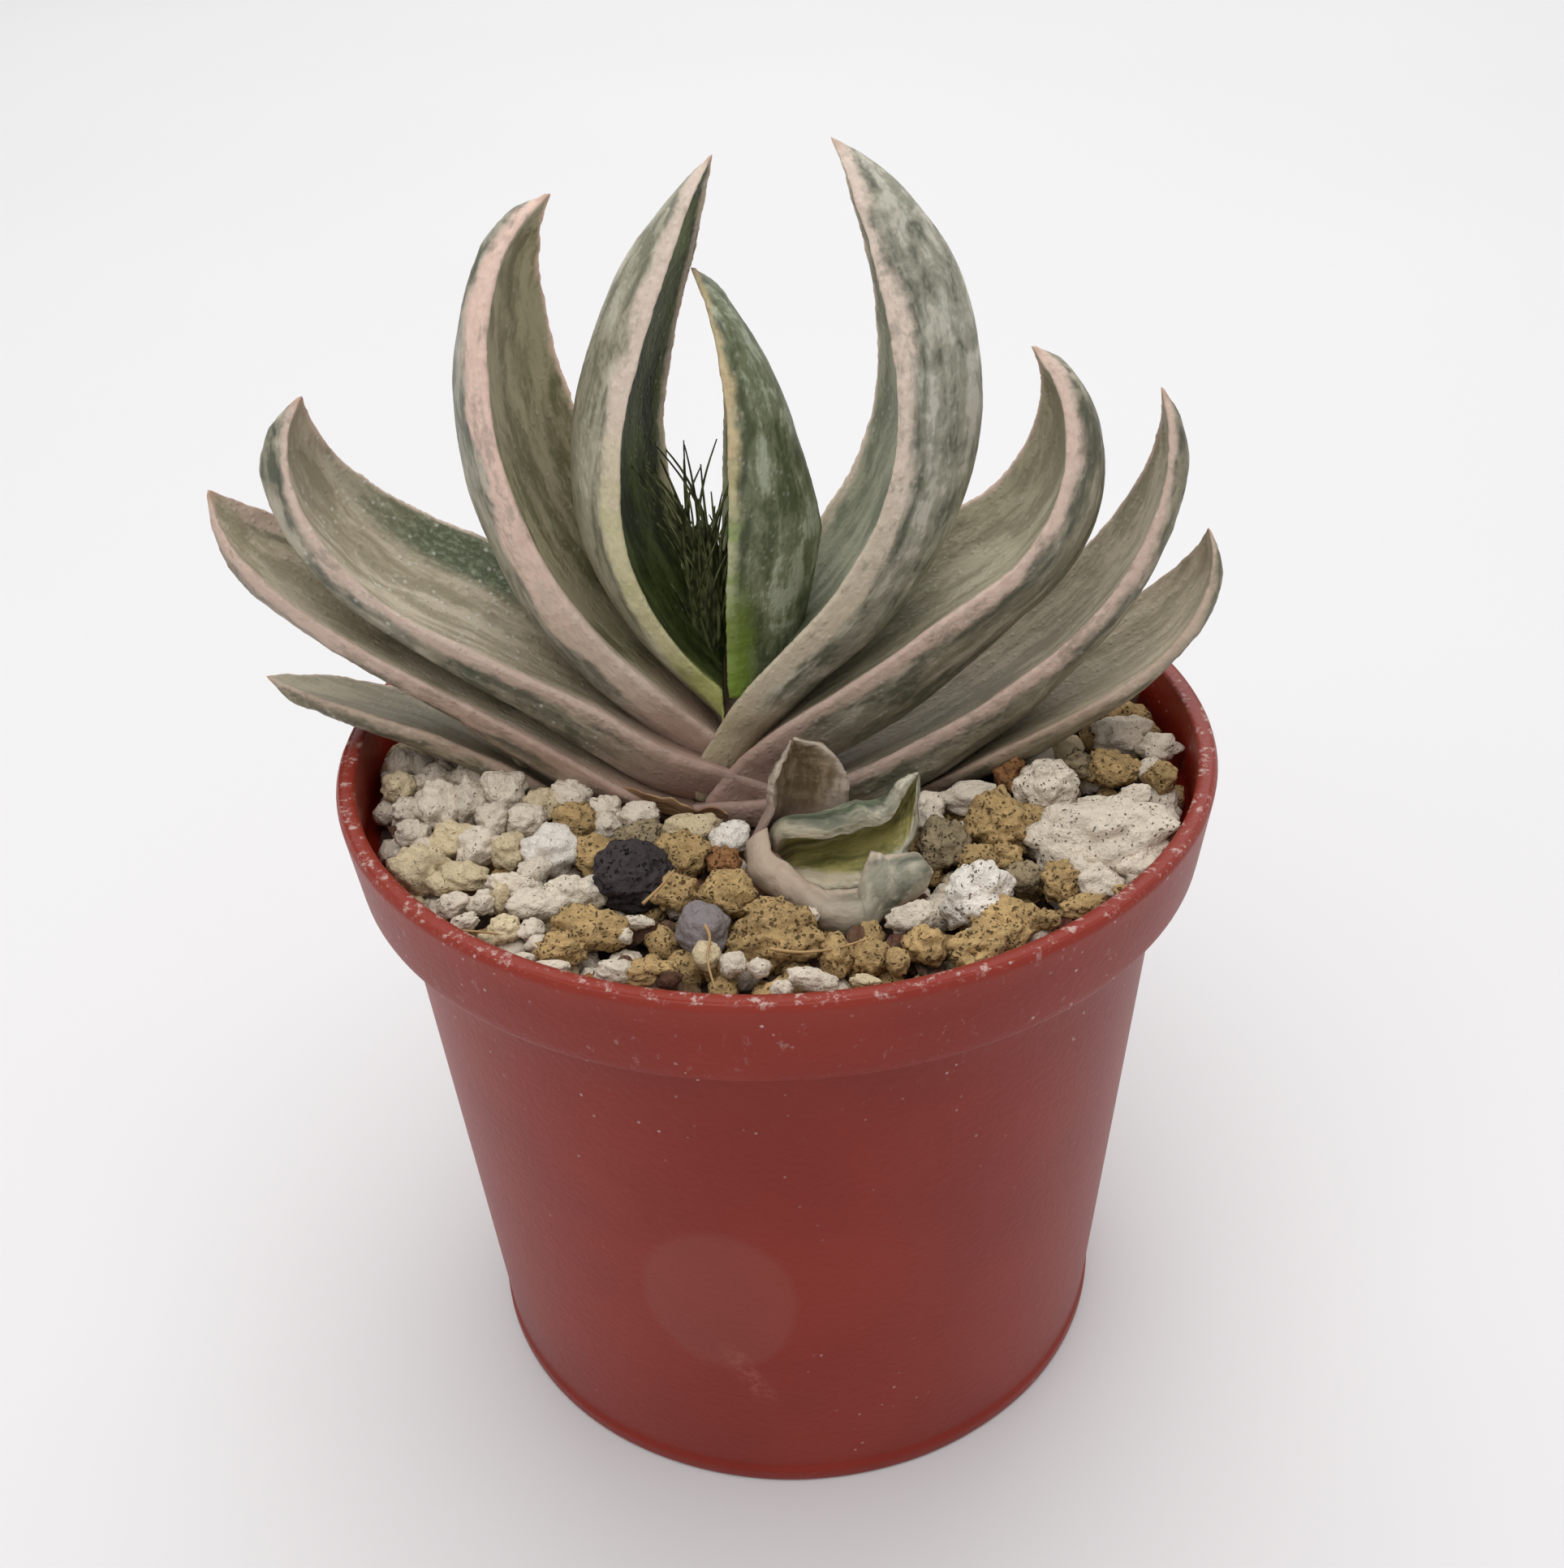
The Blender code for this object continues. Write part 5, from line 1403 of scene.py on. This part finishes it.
@dataclass
class NurseryPot:
    """The thin turned plastic pot, with its collar, mould lines and drain holes."""

    steps: int = 192
    drain_holes: int = 4
    drain_diameter: float = 6.0
    drain_circle: float = 22.0
    mark_x: float = -7.4
    mark_z: float = 28.3
    mark_radius: float = 7.2

    def profile(self) -> list[tuple[float, float]]:
        """Return the outline of half a section, from the inside floor to the underside."""
        ledge = POT_HEIGHT - COLLAR_HEIGHT
        inner = RIM_RADIUS - RIM_WIDTH
        foot = BASE_RADIUS + FOOT_PROUD
        points = [(0.0, FLOOR_THICK), (BASE_RADIUS - WALL - 1.2, FLOOR_THICK),
                  (BASE_RADIUS - WALL, FLOOR_THICK + 0.9)]
        points += [(BODY_TOP_RADIUS - WALL, ledge - 1.0), (inner - 0.25, ledge + 0.6),
                   (inner, ledge + 2.0), (inner, POT_HEIGHT - 0.5), (inner + 0.08, POT_HEIGHT - 0.16),
                   (inner + 0.34, POT_HEIGHT - 0.03), (inner + 0.7, POT_HEIGHT),
                   (RIM_RADIUS - 0.75, POT_HEIGHT - 0.02), (RIM_RADIUS - 0.46, POT_HEIGHT - 0.10),
                   (RIM_RADIUS - 0.40, POT_HEIGHT - 0.04), (RIM_RADIUS - 0.30, POT_HEIGHT - 0.04),
                   (RIM_RADIUS - 0.22, POT_HEIGHT - 0.20), (RIM_RADIUS - 0.06, POT_HEIGHT - 0.42),
                   (RIM_RADIUS, POT_HEIGHT - 0.60), (RIM_RADIUS - 0.02, POT_HEIGHT - 0.9)]
        low = COLLAR_FOOT_RADIUS
        points += [(low + 0.12, ledge + 1.2), (low, ledge + 0.42), (low - 0.10, ledge + 0.16),
                   (low - 0.32, ledge + 0.02), (low - 0.8, ledge), (BODY_TOP_RADIUS + 0.5, ledge),
                   (BODY_TOP_RADIUS + 0.1, ledge - 0.12), (BODY_TOP_RADIUS - 0.02, ledge - 0.6)]
        for i in range(1, 8):
            share = i / 8.0
            points.append((BODY_TOP_RADIUS + (BASE_RADIUS + 0.22 - BODY_TOP_RADIUS) * share,
                           ledge - 0.6 + (FOOT_HEIGHT + 2.2 - ledge) * share))
        points += [(BASE_RADIUS + 0.14, FOOT_HEIGHT + 1.05), (BASE_RADIUS + 0.10, FOOT_HEIGHT + 0.62),
                   (BASE_RADIUS + 0.26, FOOT_HEIGHT + 0.36), (foot, FOOT_HEIGHT + 0.18),
                   (foot, FOOT_HEIGHT - 0.1), (foot - 0.02, 0.6), (foot - 0.16, 0.2),
                   (foot - 0.42, 0.02), (foot - 0.7, 0.0), (0.0, 0.0)]
        return points

    def build(self) -> None:
        """Turn the shell, drill it, and dress it."""
        bm = bmesh.new()
        verts = [bm.verts.new((radius, 0.0, height)) for radius, height in self.profile()]
        edges = [bm.edges.new((first, second)) for first, second in zip(verts, verts[1:])]
        bmesh.ops.spin(bm, geom=verts + edges, cent=(0.0, 0.0, 0.0), axis=(0.0, 0.0, 1.0),
                       angle=2.0 * math.pi, steps=self.steps, use_merge=True)
        bmesh.ops.remove_doubles(bm, verts=bm.verts, dist=0.0005)
        bmesh.ops.recalc_face_normals(bm, faces=bm.faces)
        for vert in bm.verts:
            reach = math.hypot(vert.co.x, vert.co.y)
            if reach < 30.0:
                continue
            way = Vector((vert.co.x / reach, vert.co.y / reach, 0.0))
            swell = noise.noise(Vector((way.x * 1.6, way.y * 1.6, vert.co.z * 0.02))) * 0.10
            rim = smooth_step(vert.co.z, POT_HEIGHT - 0.9, POT_HEIGHT - 0.2)
            chip = (noise.noise(vert.co * 0.55) * 0.06 + noise.noise(vert.co * 1.7) * 0.04) * rim
            vert.co -= way * (abs(swell) + max(0.0, chip))
        pot = piece_from(bm, "nursery_pot", self.plastic())
        self.drill(pot)
        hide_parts("pot")
        log.info("nursery_pot: %d faces", len(pot.data.polygons))

    def drill(self, pot: bpy.types.Object) -> None:
        """Cut the drain holes through the floor.

        Args:
            pot: The turned shell.
        """
        bm = bmesh.new()
        for i in range(self.drain_holes):
            angle = 2.0 * math.pi * (i + 0.5) / self.drain_holes
            made = bmesh.ops.create_cone(bm, cap_ends=True, segments=32, depth=8.0,
                                         radius1=self.drain_diameter / 2.0,
                                         radius2=self.drain_diameter / 2.0)["verts"]
            bmesh.ops.translate(bm, verts=made, vec=(self.drain_circle * math.cos(angle),
                                                     self.drain_circle * math.sin(angle), 0.0))
        bmesh.ops.scale(bm, vec=(MM, MM, MM), verts=bm.verts)
        mesh = bpy.data.meshes.new("drain_drill")
        bm.to_mesh(mesh)
        bm.free()
        drill = bpy.data.objects.new("drain_drill", mesh)
        bpy.context.scene.collection.objects.link(drill)
        cut = pot.modifiers.new("Drain holes", "BOOLEAN")
        cut.operation = "DIFFERENCE"
        cut.object = drill
        bpy.context.view_layer.update()
        graph = bpy.context.evaluated_depsgraph_get()
        cut_mesh = bpy.data.meshes.new_from_object(pot.evaluated_get(graph))
        pot.modifiers.clear()
        pot.data = cut_mesh
        bpy.data.objects.remove(drill)

    def plastic(self) -> bpy.types.Material:
        """Return the brick red plastic: dust, scuffs, a pale disc and a painted rim highlight."""
        material, sheet, shader = new_material("Brick red plastic")
        place = sheet.place()
        parts = sheet.node("SeparateXYZ")
        sheet.feed(parts.inputs[0], place)
        height = parts.outputs["Z"]
        broad = sheet.noise(sheet.scaled(place, (0.05,) * 3), 1.0, 3.0, 0.55)
        fine = sheet.noise(sheet.scaled(place, (1.4,) * 3), 1.0, 3.0, 0.6)
        colour = sheet.blend(sheet.step(broad, 0.3, 0.7), linear(126, 28, 12), linear(136, 35, 17))
        colour = sheet.blend(sheet.maths("MULTIPLY", fine, 0.18), colour, linear(104, 32, 18))
        # Painted highlight: the upper collar grows lighter toward the rim's edge.
        collar = sheet.step(height, 66.0, 69.9)
        colour = sheet.blend(sheet.maths("MULTIPLY", collar, 0.14), colour, linear(176, 84, 70))

        # A faint pale greyish disc on the front wall.
        across = sheet.maths("SUBTRACT", parts.outputs["X"], self.mark_x)
        up = sheet.maths("SUBTRACT", height, self.mark_z)
        reach = sheet.maths("SQRT", sheet.maths("MULTIPLY_ADD", across, across,
                                                sheet.maths(
                                                    "MULTIPLY", sheet.maths("MULTIPLY", up, 0.54), up)))
        front = sheet.step(parts.outputs["Y"], -20.0, -26.0)
        disc = sheet.maths("MULTIPLY", sheet.step(reach, self.mark_radius + 0.6,
                                                  self.mark_radius - 0.6), front)
        colour = sheet.blend(sheet.maths("MULTIPLY", disc, 0.08), colour, linear(160, 130, 118))
        scuff_run = sheet.maths("MULTIPLY_ADD", up, 0.42, across)
        scuff = sheet.maths("MULTIPLY", sheet.step(sheet.maths("ABSOLUTE", sheet.maths(
            "SUBTRACT", scuff_run, -2.2)), 1.8, 0.3), sheet.maths("MULTIPLY", sheet.step(
                up, -16.0, -13.0), sheet.step(up, -5.5, -9.0)))
        scuff = sheet.maths("MULTIPLY", sheet.maths("MULTIPLY", scuff, front),
                            sheet.step(fine, 0.40, 0.62))
        colour = sheet.blend(sheet.maths("MULTIPLY", scuff, 0.2), colour, linear(190, 120, 104))

        specks = sheet.cells(sheet.scaled(place, (0.62,) * 3), 1.0)
        bent = sheet.maths("MULTIPLY_ADD", sheet.maths("SUBTRACT", fine, 0.5), 0.10, specks)
        speck = sheet.step(bent, 0.13, 0.06)
        patch = sheet.noise(sheet.scaled(place, (0.16, 0.16, 0.16)), 1.0, 2.0, 0.5)
        upper = sheet.step(height, 30.0, 66.0)
        where = sheet.step(sheet.maths("MULTIPLY_ADD", upper, 0.16, patch), 0.55, 0.74)
        dust = sheet.maths("MULTIPLY", speck, where)
        smears = sheet.maths("MULTIPLY", sheet.step(sheet.noise(sheet.scaled(
            place, (0.75, 0.75, 0.5)), 1.0, 5.0, 0.75), 0.59, 0.72), sheet.step(height, 48.0, 66.0))
        dust = sheet.maths("MAXIMUM", dust, sheet.maths("MULTIPLY", smears, 0.45))
        colour = sheet.blend(sheet.maths("MULTIPLY", dust, 0.6), colour, linear(206, 186, 182))
        top_dust = sheet.maths("MULTIPLY", sheet.step(height, 69.5, 69.95), sheet.step(
            sheet.noise(sheet.scaled(place, (0.85,) * 3), 1.0, 4.0, 0.7), 0.54, 0.66))
        colour = sheet.blend(sheet.maths("MULTIPLY", top_dust, 0.55), colour, linear(214, 194, 184))
        sheet.feed(shader.inputs["Base Color"], colour)
        rough = sheet.maths("MULTIPLY_ADD", dust, 0.3, sheet.maths("MULTIPLY_ADD", fine, 0.10, 0.36))
        sheet.feed(shader.inputs["Roughness"], rough)
        shader.inputs["Specular IOR Level"].default_value = 0.3
        add_bump(sheet, shader, sheet.maths("MULTIPLY_ADD", dust, 0.6, fine), 0.00006)
        return material


@dataclass
class Crown:
    """The middle of the plant: the stem, the spent stalk's fibres and the dry sheath."""

    fibres: int = 64
    foot: tuple[float, float, float] = (-6.2, 6.2, 77.0)
    seed: int = 5

    def build_fibres(self) -> None:
        """Fray dark olive fibres upward from the foot of the spent flower stalk."""
        material, sheet, shader = new_material("Olive fibre")
        fine = sheet.noise(sheet.scaled(sheet.place(), (1.5, 1.5, 0.4)), 1.0, 3.0, 0.6)
        sheet.feed(shader.inputs["Base Color"], sheet.blend(sheet.step(fine, 0.35, 0.7),
                                                           linear(50, 52, 24), linear(128, 134, 86)))
        shader.inputs["Roughness"].default_value = 0.65
        rng = random.Random(self.seed)
        bm = bmesh.new()
        foot = Vector(self.foot)
        for _ in range(self.fibres):
            start = foot + Vector((rng.uniform(-1.6, 1.6), rng.uniform(-1.6, 1.6),
                                   rng.uniform(-2.0, 8.0)))
            length = rng.uniform(8.0, 17.0)
            lean = rng.uniform(-0.26, 0.22)
            shadow_line_colour = rng.uniform(-0.28, 0.28)
            curl = rng.uniform(-0.42, 0.36)
            points = []
            for step in range(6):
                rise = step / 5.0 * length
                points.append(start + Vector((lean * rise + curl * rise * rise * 0.06,
                                              shadow_line_colour * rise + curl * math.sin(rise * 0.5),
                                              rise * (1.0 - 0.35 * abs(curl) * step / 5.0))))
            top = max(point.z for point in points)
            if top > 99.0:
                for point in points:
                    point.z -= top - 99.0 - rng.uniform(-3.0, 0.0)
            add_thread(bm, points, rng.uniform(0.16, 0.30), 0.07, 5, 3)
        core = bmesh.ops.create_uvsphere(bm, u_segments=24, v_segments=16, radius=1.0)["verts"]
        for vert in core:
            ruff = 1.0 + 0.18 * noise.noise(vert.co * 4.0)
            vert.co = Vector((vert.co.x * 2.0 * ruff, vert.co.y * 2.4 * ruff, vert.co.z * 8.5))
        bmesh.ops.translate(bm, verts=core, vec=foot + Vector((0.0, 0.6, 4.0)))
        fibres = piece_from(bm, "frayed_stalk", material)
        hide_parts("spent_flower_stalk")

    def build_sheath(self) -> None:
        """Curl a thin papery scrap at the foot of the fan."""
        material, sheet, shader = new_material("Dry sheath")
        straight = sheet.attribute("straight").outputs["Vector"]
        streaks = sheet.noise(sheet.scaled(straight, (0.25, 3.2, 3.2)), 1.0, 4.0, 0.6)
        sheet.feed(shader.inputs["Base Color"], sheet.blend(sheet.step(streaks, 0.3, 0.7),
                                                           linear(118, 80, 56), linear(186, 150, 112)))
        shader.inputs["Roughness"].default_value = 0.75
        add_bump(sheet, shader, streaks, 0.0003)
        bm = bmesh.new()
        layer = bm.verts.layers.float_vector.new("straight")
        bmesh.ops.create_grid(bm, x_segments=60, y_segments=10, size=1.0)
        for vert in bm.verts:
            share, wide = (vert.co.x + 1.0) / 2.0, vert.co.y
            vert[layer] = (share * 12.0, wide * 1.3, 0.0)
            taper = 1.5 * math.sin(math.pi * min(max(share, 0.04), 0.97))**0.5
            ragged = 1.0 + 0.35 * noise.noise(Vector((share * 9.0, wide, 3.0)))
            x = -15.2 + share * 10.4
            y = -4.6 - share * 4.4
            z = 66.2 - 0.7 * share + 0.5 * math.sin(share * 9.0)
            vert.co = Vector((x, y - 0.5 * wide * taper * ragged,
                              z + wide * taper * ragged + 0.4 * math.cos(share * 13.0)))
        bmesh.ops.solidify(bm, geom=bm.faces[:], thickness=0.25)
        bmesh.ops.recalc_face_normals(bm, faces=bm.faces)
        sheath = piece_from(bm, "papery_sheath", material)
        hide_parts("dried_sheath")

    def dress_inside(self) -> None:
        """Give the stems and the soil their finishes."""
        flesh, sheet, shader = new_material("Pale stem")
        streaks = sheet.noise(sheet.scaled(sheet.place(), (0.8, 0.8, 0.25)), 1.0, 3.0, 0.6)
        sheet.feed(shader.inputs["Base Color"], sheet.blend(sheet.step(streaks, 0.35, 0.65),
                                                           linear(150, 118, 104), linear(176, 148, 134)))
        shader.inputs["Roughness"].default_value = 0.6
        soil, sheet, shader = new_material("Dark compost")
        crumb = sheet.noise(sheet.place(), 0.9, 5.0, 0.7)
        sheet.feed(shader.inputs["Base Color"], sheet.blend(sheet.step(crumb, 0.35, 0.7),
                                                           linear(44, 30, 24), linear(88, 62, 48)))
        shader.inputs["Roughness"].default_value = 0.95
        add_bump(sheet, shader, crumb, 0.0012)
        for node, material in (("stem", flesh), ("shoot_stem", flesh), ("soil", soil)):
            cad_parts[node].data.materials.clear()
            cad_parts[node].data.materials.append(material)

    def build(self) -> None:
        """Build and dress every piece of the crown."""
        self.build_fibres()
        self.build_sheath()
        self.dress_inside()


@dataclass(frozen=True)
class Lamp:
    """One soft square light: its name, place and side in metres, and power in watts."""

    name: str
    place: tuple[float, float, float]
    side: float
    power: float


@dataclass
class Studio:
    """The pale floor, the soft light and the camera at the photo's angle."""

    target: tuple[float, float, float] = (0.45, 0.0, 63.66)
    distance: float = 183.74
    elevation: float = 0.567
    roll: float = -0.0407
    lens: float = 42.24
    sensor: float = 36.0
    lamps: tuple[Lamp, ...] = (Lamp("key", (-0.25, -0.40, 0.75), 0.5, 1.2),
                               Lamp("top", (0.05, -0.10, 0.85), 0.6, 2.0),
                               Lamp("back", (0.05, 0.85, 1.0), 1.4, 8.2))
    lit_height: float = 0.06
    room_light: float = 0.62
    floor_dark: tuple[int, int, int] = (220, 219, 220)
    floor_pale: tuple[int, int, int] = (226, 225, 226)
    floor_reach: float = 4.0

    def build_camera(self) -> None:
        """Place the camera."""
        data = bpy.data.cameras.new("photo_camera")
        data.lens = self.lens
        data.sensor_width = self.sensor
        data.sensor_fit = "AUTO"
        data.clip_start = 0.01
        data.clip_end = 20.0
        camera = bpy.data.objects.new("photo_camera", data)
        back = Vector((0.0, -math.cos(self.elevation), math.sin(self.elevation)))
        camera.matrix_world = (Matrix.Translation((Vector(self.target) + back * self.distance) * MM)
                               @ back.to_track_quat("Z", "Y").to_matrix().to_4x4()
                               @ Matrix.Rotation(self.roll, 4, "Z"))
        bpy.context.scene.collection.objects.link(camera)
        bpy.context.scene.camera = camera

    def build_light(self, lamp: Lamp) -> None:
        """Hang one soft square light that looks at the plant.

        Args:
            lamp: The light's name, place, side and power.
        """
        data = bpy.data.lights.new(lamp.name, "AREA")
        data.shape = "SQUARE"
        data.size = lamp.side
        data.energy = lamp.power
        light = bpy.data.objects.new(lamp.name, data)
        light.location = lamp.place
        way = Vector(lamp.place) - Vector((0.0, 0.0, self.lit_height))
        light.rotation_euler = way.to_track_quat("Z", "Y").to_euler()
        bpy.context.scene.collection.objects.link(light)

    def build_floor(self) -> None:
        """Lay a wide pale floor."""
        material, sheet, shader = new_material("Pale floor")
        cloud = sheet.noise(sheet.place(False), 3.0, 2.0, 0.5)
        sheet.feed(shader.inputs["Base Color"], sheet.blend(cloud, linear(*self.floor_dark),
                                                           linear(*self.floor_pale)))
        shader.inputs["Roughness"].default_value = 0.8
        bm = bmesh.new()
        bmesh.ops.create_grid(bm, x_segments=8, y_segments=8, size=self.floor_reach)
        mesh = bpy.data.meshes.new("floor")
        bm.to_mesh(mesh)
        bm.free()
        mesh.materials.append(material)
        floor = bpy.data.objects.new("floor", mesh)
        bpy.context.scene.collection.objects.link(floor)

    def build(self) -> None:
        """Build the floor, the lights and the camera."""
        self.build_floor()
        for lamp in self.lamps:
            self.build_light(lamp)
        world = bpy.data.worlds.new("soft_room")
        world.use_nodes = True
        background = world.node_tree.nodes["Background"]
        background.inputs["Color"].default_value = (1.0, 1.0, 1.0, 1.0)
        background.inputs["Strength"].default_value = self.room_light
        bpy.context.scene.world = world
        bpy.context.scene.view_settings.view_transform = "Standard"
        self.build_camera()


def build_leaves(skin: LeafSkin) -> None:
    """Build the fan and the side shoot.

    Args:
        skin: The skin that the leaves share.
    """
    for blade in FAN + SHOOT:
        leaf = blade.build(skin)
        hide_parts(blade.name)
        log.info("%s: %d faces", blade.name, len(leaf.data.polygons))


def main() -> None:
    """Build the scene in order: studio, pot, filling, plant."""
    logging.basicConfig(level=logging.INFO, format="%(name)s: %(message)s")
    Studio().build()
    NurseryPot().build()
    GritFilling().build(GritSkin())
    Crown().build()
    build_leaves(LeafSkin())


if __name__ == "__main__":
    main()
